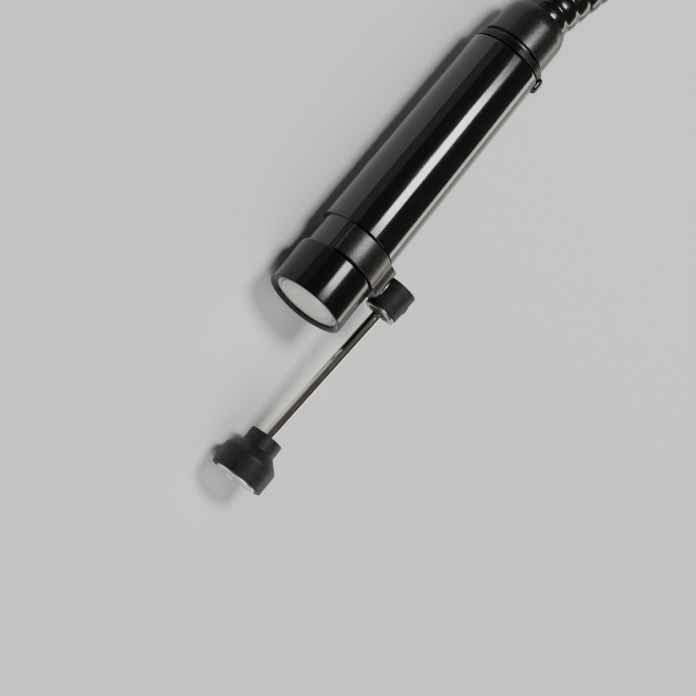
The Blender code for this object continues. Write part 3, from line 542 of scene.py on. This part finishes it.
mirror = make_finish("reflector_mirror", (0.90, 0.92, 0.90), (0.16, 0.26), metallic=0.85,
                     grain=0.5, lift=0.004, tint=0.04)
add_piece("reflector_cup", turned("reflector_cup", reflector_outline(), head), mirror,
          "lens_carrier", "reflector", "reflector")

LED_BASE, LED_HEIGHT, LED_RADIUS = 6.39, 1.2, 1.5
phosphor = make_finish("led_phosphor", (0.90, 0.82, 0.38), (0.10, 0.22), grain=0.1, lift=0.001)
dome_turn = np.linspace(0, math.pi / 2, 16)
dome_station = LED_BASE - LED_HEIGHT * np.cos(dome_turn)
dome_outline = np.stack([dome_station, LED_RADIUS * np.sin(dome_turn)], axis=1)
dome_outline = np.concatenate([dome_outline, [[LED_BASE, 0.0]]]) * MM
add_piece("led_lens", turned("led_lens", dome_outline, head, sides=48), phosphor, "barrel",
          "led_dome", "led_dome")

seal_black = make_finish("seal_rubber", (0.012, 0.012, 0.012), (0.45, 0.65), grain=0.3)
seal_outline = rounded([
    (1.99, 5.73, 0.2), (1.99, 6.13, 0.2), (2.49, 6.13, 0.2), (2.49, 5.73, 0.2),
])
add_piece("lens_gasket", turned("lens_gasket", seal_outline, head), seal_black, "lens_carrier",
          "seal_rubber", "lens_seal")

# %% [markdown]
# The barrel is one turned tube: a thin stub that the bezel screws over, the groove that the
# clip turns in, and a long body that narrows slightly towards the rear. Only its ends need
# rounding; the long straight side must stay perfectly straight to carry one clean reflection.

# %% Barrel
barrel_outline = rounded([
    (4.90, 5.45, 0.00), (4.90, 5.95, 0.10), (6.13, 5.95, 0.00), (6.13, 5.75, 0.00),
    (6.87, 5.75, 0.00), (6.87, 5.95, 0.00), (8.30, 5.95, 0.00), (8.30, 6.17, 0.06),
    (13.70, 6.17, 0.08), (13.70, 6.70, 0.30), (52.70, 6.33, 0.35), (52.70, 5.45, 0.05),
])
add_piece("barrel", turned("barrel", barrel_outline, head, sides=160), barrel_black, "barrel",
          "barrel", "barrel_tube")

# %% [markdown]
# The rear collar closes the barrel. Three fine beads run round it, and a small round-ended nib
# laps forward over the barrel. The beads are a ripple in the outline. The nib is a short bar of
# its own, rounded on top and shallow below, which tapers to nothing at both ends.

# %% Rear collar and its nib
COLLAR_FRONT, COLLAR_LENGTH = 52.82, 1.40
COLLAR_RADIUS, COLLAR_BORE = 6.18, 5.45
COLLAR_BEADS, BEAD_HEIGHT, EDGE_DROP = 3, 0.10, 0.30
NIB_FRONT, NIB_LENGTH = 51.20, 2.95
NIB_FOOT, NIB_HEIGHT, NIB_HALF_WIDTH = 6.30, 0.74, 1.00
NIB_SINK = 0.25  # how far the foot sinks into the barrel, as a share of the height


def collar_outline():
    """Outer radius = plain + bead |sin(beads pi t)|^0.8 - edge |2t - 1|^8, over a straight bore."""
    t = np.linspace(0, 1, 60)
    beads = BEAD_HEIGHT * np.abs(np.sin(COLLAR_BEADS * math.pi * t)) ** 0.8
    edges = EDGE_DROP * np.abs(2 * t - 1) ** 8
    outer = np.stack([COLLAR_FRONT + COLLAR_LENGTH * t, COLLAR_RADIUS + beads - edges], axis=1)
    back = COLLAR_FRONT + COLLAR_LENGTH
    inner = np.array([[back, COLLAR_BORE], [COLLAR_FRONT, COLLAR_BORE]])
    return np.concatenate([outer, inner]) * MM


collar_black = make_finish("collar_black", (0.004, 0.004, 0.0045), (0.18, 0.28), grain=0.8,
                           lift=0.001, specular=0.30)
add_piece("collar_ring", turned("collar_ring", collar_outline(), head, sides=160, sharp=50.0),
          collar_black, "barrel", "rear_collar", "rear_collar")


def nib_mesh():
    """A bar along the barrel: its width and height both follow (1 - |2t - 1|^4)^0.5."""
    t = np.linspace(0.002, 0.998, 40)[:, None]
    a = np.linspace(0, math.tau, 40, endpoint=False)[None, :]
    swell = (1 - np.abs(2 * t - 1) ** 4) ** 0.5
    x = -(NIB_FRONT + NIB_LENGTH * t) + 0 * a
    y = NIB_HALF_WIDTH * swell * np.sin(a)
    z = NIB_FOOT + NIB_HEIGHT * swell * np.cos(a) * np.where(np.cos(a) > 0, 1.0, NIB_SINK)
    turned_y = y * math.cos(PIVOT_TURN) - z * math.sin(PIVOT_TURN)
    turned_z = y * math.sin(PIVOT_TURN) + z * math.cos(PIVOT_TURN)
    grid = np.stack([x, turned_y, turned_z], axis=-1) * MM
    return solid("collar_nib", placed(grid, head), False, 60.0)


add_piece("collar_nib", nib_mesh(), collar_black, "barrel", "rear_collar")

# %% [markdown]
# The rear cap is moulded rubber, a little off the barrel's axis, as soft caps are. It tapers to
# a shoulder and ends in a mouth that the neck comes out of.

# %% Rear cap
cap_rubber = make_finish("cap_rubber", (0.006, 0.006, 0.0065), (0.24, 0.40), grain=0.35,
                         lift=0.014, tint=0.4, specular=0.42)
cap_outline = rounded([
    (-0.90, 4.70, 0.00), (-0.90, 5.25, 0.10), (0.00, 5.25, 0.00), (0.00, 5.72, 0.30),
    (5.60, 5.50, 0.90), (7.20, 4.85, 0.30), (7.20, 4.45, 0.10), (4.90, 4.45, 0.00),
    (4.90, 4.70, 0.00),
])
add_piece("tail_cap", turned("tail_cap", cap_outline, tail, sides=128), cap_rubber, "barrel",
          "rear_cap", "rear_cap")

# %% [markdown]
# ## The gooseneck
#
# The neck is an interlocked hose in a ribbed sleeve, and it bends at twelve hinges. One long
# tube can't follow twelve hinges, so the sleeve is made in lengths that start and end in the
# middle of a link. Each length follows a smooth curve that turns near its hinge, and the ribs
# ride on it: the radius is a row of round bumps along the distance travelled. Where two
# lengths meet, both end in the bottom of a groove.

# %% One length of ribbed sleeve
NECK_RADIUS = 4.25 * MM
RIB_PITCH = 2.75 * MM
RIB_DEPTH = 0.30 * MM
SLEEVE_WALL = 0.18 * MM
RIB_SHARPNESS = 1.5
RIB_STEPS = 14
BORE_SKIP = 4  # the smooth bore needs only every fourth row of the ribs
NECK_SIDES = 64


def sleeve_mesh(name, start, hinge, end, ribs):
    """A ribbed tube along c(t) = (1-t)^2 A + 2t(1-t) H + t^2 B.

    Radius = crest - depth (1 - |sin(pi s / pitch)|)^sharpness, where s is the distance along c.
    """
    t = np.linspace(0, 1, int(ribs * RIB_STEPS) + 1)[:, None]
    path = (1 - t) ** 2 * start + 2 * t * (1 - t) * hinge + t**2 * end
    way = 2 * (1 - t) * (hinge - start) + 2 * t * (end - hinge)
    way /= np.linalg.norm(way, axis=1, keepdims=True)
    steps = np.linalg.norm(np.diff(path, axis=0), axis=1)
    distance = np.concatenate([[0.0], np.cumsum(steps)])
    phase = distance[-1] - distance  # counted from the far end, which is a groove
    bump = np.abs(np.sin(math.pi * phase / distance[-1] * ribs))
    radius = NECK_RADIUS - RIB_DEPTH * (1 - bump) ** RIB_SHARPNESS
    sideways = np.cross(way, upward)
    sideways /= np.linalg.norm(sideways, axis=1, keepdims=True)
    a = np.linspace(0, math.tau, NECK_SIDES, endpoint=False)
    rim = np.cos(a)[None, :, None] * upward + np.sin(a)[None, :, None] * sideways[:, None, :]
    outer = path[:, None, :] + radius[:, None, None] * rim
    bore = NECK_RADIUS - RIB_DEPTH - SLEEVE_WALL
    inner = path[::-BORE_SKIP, None, :] + bore * rim[::-BORE_SKIP]
    return solid(name, np.concatenate([outer, inner]), True, 50.0)


neck_vinyl = make_finish("neck_vinyl", (0.004, 0.004, 0.0045), (0.14, 0.24), grain=0.5,
                         lift=0.005, specular=0.5)
print("sleeve", round(2 * NECK_RADIUS / MM, 1), "mm wide, ribs", round(RIB_PITCH / MM, 2), "mm apart")

# %% [markdown]
# Seven of the hinges are crossed by one length each. Such a length rides on no body, and its
# points are fixed where they are made.

# %% Lengths that bend
side_names = ["neck_side"] + ["neck_side_%02d" % k for k in (3, 5, 7, 9, 11)]
lift_names = ["neck_lift"] + ["neck_lift_%02d" % k for k in (4, 6, 8, 10, 12)]
neck_joints = [name for pair in zip(side_names, lift_names) for name in pair]
hinges = np.array([joints[name]["pos_m"] for name in neck_joints])
middles = (hinges[:-1] + hinges[1:]) / 2
SLEEVE_AHEAD = 2.75 * MM
GRIP_BEHIND = 5.50 * MM
sleeve_starts = np.concatenate([[hinges[0] + SLEEVE_AHEAD * tail_way], middles])
sleeve_ends = np.concatenate([middles, [hinges[-1] - GRIP_BEHIND * grip_way]])
rib_counts = [3.5, *[5] * 10, 4]  # the first length starts half a rib inside the cap
BALL_HINGES = (3, 5, 7, 9, 11)
for number, name in enumerate(neck_joints, start=1):
    if number in BALL_HINGES:
        continue
    begin, hinge, end = sleeve_starts[number - 1], hinges[number - 1], sleeve_ends[number - 1]
    piece_name = "neck_sleeve_%02d" % number
    covered = ["neck_link_%02d" % number] if number < len(neck_joints) else []
    mesh = sleeve_mesh(piece_name, begin, hinge, end, rib_counts[number - 1])
    piece = add_piece(piece_name, mesh, neck_vinyl, None, "neck_sleeve", *covered)
    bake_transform(piece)

# %% [markdown]
# The other five hinges are made another way: two stiff lengths of two ribs each, and between
# them one rib that is a slice of a ball centred on the hinge. The ball reaches into both
# lengths, so that it still fills the gap when the hinge turns. A blend across these five throws
# the sleeve aside at some poses, which is why stiff pieces are used instead.

# %% Ball ribs at the sideways hinges
BALL_REACH = 3.20 * MM
BALL_BORE = 2.50 * MM


def ball_outline():
    """Radius = sqrt(ball^2 - station^2) between the two reaches, over a straight bore."""
    station = np.linspace(-BALL_REACH, BALL_REACH, 24)
    outer = np.stack([station, np.sqrt(NECK_RADIUS**2 - station**2)], axis=1)
    bore = np.array([[BALL_REACH, BALL_BORE], [-BALL_REACH, BALL_BORE]])
    return np.concatenate([outer, bore])


def add_ball_hinge(number):
    """Two stiff lengths that stop half a rib short of the hinge, and the ball between them."""
    begin, hinge, end = sleeve_starts[number - 1], hinges[number - 1], sleeve_ends[number - 1]
    joint = joints[neck_joints[number - 1]]
    stem = "neck_sleeve_%02d_" % number
    halves = (("front", begin, joint["parent"], []),
              ("back", end, joint["child"], ["neck_link_%02d" % number]))
    for half, far_end, body, covered in halves:
        near_end = hinge + RIB_PITCH / 2 * unit(far_end - hinge)
        mesh = sleeve_mesh(stem + half, near_end, (near_end + far_end) / 2, far_end, 2)
        add_piece(stem + half, mesh, neck_vinyl, body, "neck_sleeve", *covered)
    way = unit(begin - end)
    where = (hinge, np.array([way, np.cross(upward, way), upward]))
    ball_name = "neck_ball_%02d" % number
    ball = turned(ball_name, ball_outline(), where, 1.0, NECK_SIDES, 50.0)
    add_piece(ball_name, ball, neck_vinyl, joint["child"], "neck_sleeve")


for number in BALL_HINGES:
    add_ball_hinge(number)

# %% [markdown]
# ## The clip and its pivot
#
# The clip is a strip of spring steel bent round the groove, open at the back, with a thicker
# flat seat where the arm sits. Bending a flat mesh with a modifier would stretch the seat, so
# the band is swept instead: at each angle round the barrel it has the same section, and only
# its outer radius changes. On the seat that radius is height / cos(angle), which is a straight
# line, and from there it eases down to the plain band.

# %% Clip band
CLIP_FRONT, CLIP_LENGTH = 8.35, 5.10
BAND_INSIDE, BAND_OUTSIDE, SEAT_HEIGHT = 6.37, 7.00, 7.65
SEAT_ANGLE, FADE_ANGLE = math.radians(20.0), math.radians(42.0)
HALF_WRAP = math.radians(127.7)
LIP_ANGLE, LIP_THINNING, LIP_FLARE = math.radians(6.0), 0.45, 0.3


def clip_mesh():
    """Sweep a rounded strip about the barrel, as far as the half wrap on both sides.

    Outer radius = plain + (height / cos(angle) - plain) (1 - u)^2 (1 + 2u), where u goes from 0
    to 1 across the fade. Each lip is thinned by a quarter circle, 1 - sqrt(1 - (1 - v)^2).
    """
    angle = np.linspace(-HALF_WRAP, HALF_WRAP, 241)[:, None]
    away = np.abs(angle)
    flat = SEAT_HEIGHT / np.cos(np.minimum(away, SEAT_ANGLE))
    share = np.clip((away - SEAT_ANGLE) / (FADE_ANGLE - SEAT_ANGLE), 0, 1)
    outside = BAND_OUTSIDE + (flat - BAND_OUTSIDE) * (1 - share) ** 2 * (1 + 2 * share)
    lip = np.clip((HALF_WRAP - away) / LIP_ANGLE, 0, 1)
    thin = LIP_THINNING * (1 - np.sqrt(1 - (1 - lip) ** 2))
    outside = outside - thin
    inside = BAND_INSIDE + LIP_FLARE * thin
    section = rounded([
        (0, 0, 0.06), (0, 1, 0.17), (CLIP_LENGTH, 1, 0.17), (CLIP_LENGTH, 0, 0.06),
    ], 6) / MM
    station, level = section[:, 0][None, :], section[:, 1][None, :]
    near_out = level > 0.5
    radius = np.where(near_out, outside - (1 - level), inside + level)
    x = -(CLIP_FRONT + station) + 0 * angle
    grid = np.stack([x, -radius * np.sin(angle), radius * np.cos(angle)], axis=-1) * MM
    return solid("clip", placed(grid, head), False, 35.0)


clip_satin = make_finish("clip_satin", (0.006, 0.006, 0.0065), (0.25, 0.38), grain=0.22,
                         lift=0.008, tint=0.35, specular=0.36)
add_piece("clip", clip_mesh(), clip_satin, "clip", "clip_band", "clip_band")

# %% [markdown]
# A bright washer keeps the swinging block off the clip's paint, and a rivet runs through all
# three. Both turn about the pivot, so they are spun about the third direction of the head's
# frame: the lathe gets a frame whose first direction is that one.

# %% Washer and rivet
PIVOT_STATION = 10.90
pivot_line = (rim_centre - PIVOT_STATION * MM * ahead, np.array([lug, across, -ahead]))
zinc = make_finish("washer_zinc", (0.30, 0.30, 0.29), (0.30, 0.46), metallic=1.0, grain=0.2,
                   lift=0.004, tint=0.12)
washer_outline = rounded([
    (7.77, 1.10, 0), (7.77, 2.30, 0.08), (8.07, 2.30, 0.08), (8.07, 1.10, 0),
])
add_piece("washer", turned("washer", washer_outline, pivot_line, 1.0, 64), zinc, "clip",
          "washer_zinc", "pivot_washer")

rivet_black = make_finish("rivet_black", (0.012, 0.012, 0.013), (0.40, 0.58), grain=0.2,
                          lift=0.006, tint=0.3, specular=0.25)
rivet_outline = rounded([
    (6.49, 0, 0), (6.49, 1.55, 0.08), (6.89, 1.55, 0.05), (6.89, 0.90, 0.0),
    (13.20, 0.90, 0.0), (13.20, 1.05, 0.05), (13.58, 1.05, 0.25), (13.58, 0, 0),
])
add_piece("rivet", turned("rivet", rivet_outline, pivot_line, 1.0, 64), rivet_black, "clip",
          "rivet_nickel", "pivot_rivet")

# %% [markdown]
# The pivot block is a stubby moulded barrel that lies along the arm, flat where it rests on the
# washer. It is turned first, and then every point below the flat is lifted onto it, which is
# what a mould maker's flat does to a round plug.

# %% Pivot block
BLOCK_FLAT = 2.43 * MM
BLOCK_SIDES = 128
block_matte = make_finish("block_matte", (0.011, 0.011, 0.012), (0.45, 0.66), grain=0.16,
                          lift=0.014, tint=0.45, specular=0.22)


def block_mesh():
    """A turned plug with z = max(z, -BLOCK_FLAT), bored for the rod's socket."""
    outline = rounded([
        (-2.50, 0, 0), (-2.50, 2.93, 0.22), (2.50, 2.93, 0.18), (2.50, 2.07, 0.06),
        (1.50, 2.07, 0.0), (1.50, 0, 0),
    ])
    station, radius = outline[1:-1, 0], outline[1:-1, 1]
    turn = np.linspace(0, math.tau, BLOCK_SIDES, endpoint=False)
    x = np.broadcast_to(station[:, None], (len(station), BLOCK_SIDES))
    y = radius[:, None] * np.sin(turn)
    z = np.maximum(radius[:, None] * np.cos(turn), -BLOCK_FLAT)
    return solid("block", placed(np.stack([x, y, z], axis=-1), arm), False, 35.0)


add_piece("block", block_mesh(), block_matte, "arm", "pivot_block", "pivot_block")

# %% [markdown]
# ## The magnet arm
#
# A plated ring closes the block's socket, a rubber grommet grips the rod in it, and the rod is
# drawn, polished steel. Polish is never perfect: draw lines run along the rod, so its noise is
# stretched along it.

# %% Ring, grommet and rod
ring_satin = make_finish("ring_nickel", (0.26, 0.26, 0.25), (0.24, 0.40), metallic=1.0,
                         grain=0.2, lift=0.003, tint=0.12)
ring_outline = rounded([
    (2.62, 1.95, 0.10), (2.62, 2.80, 0.05), (3.12, 2.80, 0.18), (3.12, 1.95, 0.10),
])
add_piece("ring", turned("ring", ring_outline, arm, 1.0, 72), ring_satin, "arm", "ring_nickel",
          "socket_ring")

grommet_outline = rounded([
    (1.62, 1.03, 0), (1.62, 1.83, 0.1), (3.10, 1.83, 0.1), (3.36, 1.40, 0.15), (3.30, 1.00, 0.08),
])
add_piece("grommet", turned("grommet", grommet_outline, arm, 1.0, 64), seal_black, "arm",
          "seal_rubber", "rod_grommet")

rod_steel = make_finish("rod_steel", (0.63, 0.58, 0.50), (0.06, 0.18), metallic=1.0, grain=0.30,
                        lift=0.006, tint=0.16, stretch=(0.10, 1.0, 1.0))
rod_outline = rounded([(1.62, 0, 0), (1.62, 0.925, 0.1), (33.62, 0.925, 0.12), (33.62, 0, 0)])
add_piece("rod_bar", turned("rod_bar", rod_outline, arm, 1.0, 64), rod_steel, "arm",
          "rod_steel", "rod")

# %% [markdown]
# The boot is matte moulded rubber: a neck that grips the rod, a cone, and a cup round the
# magnet. Rubber parts keep a soft, uneven surface, so the finish is mottled and its edges have
# generous roundings. Stations run back from the magnet's face.

# %% Boot
boot_rubber = make_finish("boot_rubber", (0.009, 0.009, 0.010), (0.40, 0.62), grain=0.22,
                          lift=0.018, tint=0.6, patches=3.0, specular=0.28)
boot_outline = rounded([
    (8.40, 1.13, 0.10), (8.40, 2.94, 0.30), (6.00, 2.94, 0.25), (4.10, 4.79, 0.45),
    (0.20, 4.66, 0.18), (0.20, 3.91, 0.08), (3.50, 3.91, 0.0), (3.50, 0.6, 0.0),
    (3.90, 0.6, 0.0), (3.90, 1.13, 0.0),
])
add_piece("boot", turned("boot", boot_outline, boot, -1.0, 128), boot_rubber, "arm",
          "boot_rubber", "magnet_boot")

# %% [markdown]
# Inside the cup, a nickel-plated steel pot carries the magnet, a disc set a hair below the
# pot's edge. The pot's face is ground, which leaves fine circular lines.

# %% Magnet pot and disc
pot_bright = make_finish("pot_nickel", (0.78, 0.81, 0.77), (0.18, 0.32), metallic=1.0,
                         grain=0.25, lift=0.003, tint=0.1)
pot_outline = rounded([
    (3.30, 0, 0), (3.30, 3.71, 0.1), (0.00, 3.71, 0.22), (0.00, 3.06, 0.08),
    (2.50, 3.06, 0.0), (2.50, 0, 0),
])
add_piece("pot", turned("pot", pot_outline, boot, -1.0, 96), pot_bright, "arm",
          "magnet_nickel", "magnet_pot")

disc_ground = make_finish("disc_ground", (0.72, 0.73, 0.72), (0.22, 0.36), metallic=1.0,
                          grain=0.3, lift=0.004, tint=0.12, stretch=(1.0, 1.0, 0.2))
disc_outline = rounded([(2.38, 0, 0), (2.38, 2.94, 0.08), (0.04, 2.94, 0.15), (0.04, 0, 0)])
add_piece("magnet", turned("magnet", disc_outline, boot, -1.0, 96), disc_ground, "arm",
          "magnet_disc", "magnet_disc")

# %% [markdown]
# ## The grip
#
# At the far end, a steel ferrule joins the neck to a slim grip: an alloy core tube under a
# fluted rubber sleeve, a bright ring at each end of it, and a screwed end cap. The ferrule and
# the rings are plain lathe work, and a turned line breaks up each ring.

# %% Grip ferrule and rings
ferrule_steel = make_finish("ferrule_steel", (0.52, 0.52, 0.53), (0.2, 0.34), metallic=1.0,
                            grain=0.3, lift=0.003, tint=0.1)
ferrule_outline = rounded([
    (4.00, 0, 0), (4.00, 3.60, 0.2), (4.70, 4.35, 0.2), (5.30, 5.60, 0.35), (8.00, 5.60, 0.25),
    (8.00, 4.11, 0), (16.00, 4.11, 0.3), (16.00, 0, 0),
])
add_piece("grip_ferrule", turned("grip_ferrule", ferrule_outline, grip), ferrule_steel, "grip",
          "ferrule_steel", "handle_ferrule")

grip_chrome = make_finish("grip_chrome", (0.76, 0.76, 0.77), (0.06, 0.14), metallic=1.0,
                          grain=0.3, lift=0.002, tint=0.05)
for ring_name, front in (("grip_ring_front", 8.12), ("grip_ring_rear", 84.36)):
    outline = rounded([
        (front, 5.53, 0), (front, 6.50, 0.5), (front + 1.2, 6.50, 0.0), (front + 1.35, 6.35, 0.05),
        (front + 1.65, 6.35, 0.05), (front + 1.8, 6.50, 0.0), (front + 3.0, 6.50, 0.4),
        (front + 3.0, 5.53, 0),
    ])
    add_piece(ring_name + "_bright", turned(ring_name, outline, grip), grip_chrome, "grip",
              "grip_chrome", ring_name)

# %% [markdown]
# The sleeve's flutes are a function of two parameters: the radius dips by a cosine round the
# sleeve, and the dip fades out towards both ends and at two plain bands between them.

# %% Fluted grip sleeve
GRIP_FRONT, GRIP_BACK = 11.24, 84.24
GRIP_OUTSIDE, GRIP_BORE = 6.98, 5.53
FLUTES = 18
FLUTE_DEPTH = 0.42
FLUTED_STRETCHES, BAND_FADE, END_FADE = 3, 5, 8
SOFT_END, SOFT_LENGTH = 0.6, 0.8


def grip_mesh():
    """Radius = outside - depth * fade(s) * (0.5 - 0.5 cos(n a))^1.5, with soft ends."""
    s = np.linspace(GRIP_FRONT, GRIP_BACK, 220)[:, None]
    a = np.linspace(0, math.tau, FLUTES * 14, endpoint=False)[None, :]
    t = (s - GRIP_FRONT) / (GRIP_BACK - GRIP_FRONT)
    fade = np.clip(np.sin(FLUTED_STRETCHES * math.pi * t) ** 2 * BAND_FADE, 0, 1)
    fade = fade * np.clip(END_FADE * t, 0, 1) * np.clip(END_FADE - END_FADE * t, 0, 1)
    ends = SOFT_END * np.clip(1 - (s - GRIP_FRONT) / SOFT_LENGTH, 0, 1) ** 2.5
    ends = ends + SOFT_END * np.clip(1 - (GRIP_BACK - s) / SOFT_LENGTH, 0, 1) ** 2.5
    radius = GRIP_OUTSIDE - FLUTE_DEPTH * fade * (0.5 - 0.5 * np.cos(FLUTES * a)) ** 1.5 - ends
    outer = np.stack([-s + 0 * a, radius * np.sin(a), radius * np.cos(a)], axis=-1)
    bore_s = np.array([GRIP_BACK, GRIP_FRONT])[:, None]
    inner = np.stack([-bore_s + 0 * a, GRIP_BORE * np.sin(a) + 0 * bore_s,
                      GRIP_BORE * np.cos(a) + 0 * bore_s], axis=-1)
    return solid("grip", placed(np.concatenate([outer, inner]) * MM, grip), True, 40.0)


grip_rubber = make_finish("grip_rubber", (0.014, 0.014, 0.015), (0.42, 0.60), grain=0.2,
                          lift=0.012, tint=0.4)
add_piece("grip", grip_mesh(), grip_rubber, "grip", "grip_rubber", "grip_sleeve")

# %% [markdown]
# The end cap screws into the core tube on a rubber ring. Two turned lines break up its side,
# and its end face stays flat, because the tool can stand on it.

# %% End cap and its seal
end_black = make_finish("end_cap_black", (0.006, 0.006, 0.0065), (0.12, 0.22), grain=0.5,
                        lift=0.002, coat=0.4, specular=0.8)
end_outline = rounded([
    (80.30, 0, 0), (80.30, 4.11, 0.25), (88.30, 4.11, 0), (88.30, 6.98, 0.25), (89.4, 6.98, 0.05),
    (89.55, 6.80, 0.05), (89.75, 6.80, 0.05), (89.9, 6.98, 0.05), (90.4, 6.98, 0.05),
    (90.55, 6.80, 0.05), (90.75, 6.80, 0.05), (90.9, 6.98, 0.05), (92.80, 6.98, 0.70),
    (92.80, 0, 0),
])
add_piece("tail_end", turned("tail_end", end_outline, grip, sides=128), end_black, "grip",
          "end_cap", "end_cap")
end_seal_outline = rounded([
    (87.48, 4.31, 0), (87.48, 6.50, 0.3), (88.18, 6.50, 0.3), (88.18, 4.31, 0),
])
add_piece("end_ring", turned("end_ring", end_seal_outline, grip), seal_black, "grip",
          "seal_rubber", "end_seal")

# %% [markdown]
# ## The pieces inside
#
# The battery, its contacts and the core tube are only seen when the tool is taken apart. Their
# plain solids have the right shape already, so they keep their meshes and only get a finish.

# %% Finishes of the hidden pieces
hidden_finishes = {
    "led_base": make_finish("led_base_alloy", (0.66, 0.67, 0.68), (0.25, 0.4),
                            metallic=1.0, tint=0.1),
    "front_contact": make_finish("contact_brass", (0.72, 0.52, 0.22), (0.2, 0.35),
                                 metallic=1.0, tint=0.15),
    "battery_nub": make_finish("nub_nickel", (0.72, 0.71, 0.67), (0.18, 0.3),
                               metallic=1.0, tint=0.1),
    "battery_can": make_finish("battery_film", (0.07, 0.12, 0.20), (0.2, 0.34),
                               metallic=0.3, tint=0.2),
    "battery_spring": make_finish("spring_wire", (0.62, 0.62, 0.62), (0.2, 0.3),
                                  metallic=1.0, tint=0.1),
    "bezel_seal": seal_black,
    "neck_ferrule": ferrule_steel,
    "handle_core": make_finish("core_alloy", (0.52, 0.52, 0.54), (0.25, 0.4),
                               metallic=1.0, tint=0.1),
}
hidden_finishes["spring_seat"] = hidden_finishes["front_contact"]
for node_name, material in hidden_finishes.items():
    node = frame["nodes"][node_name]
    node.data.materials.clear()
    node.data.materials.append(material)
print("finishes given to", len(hidden_finishes), "inner pieces")
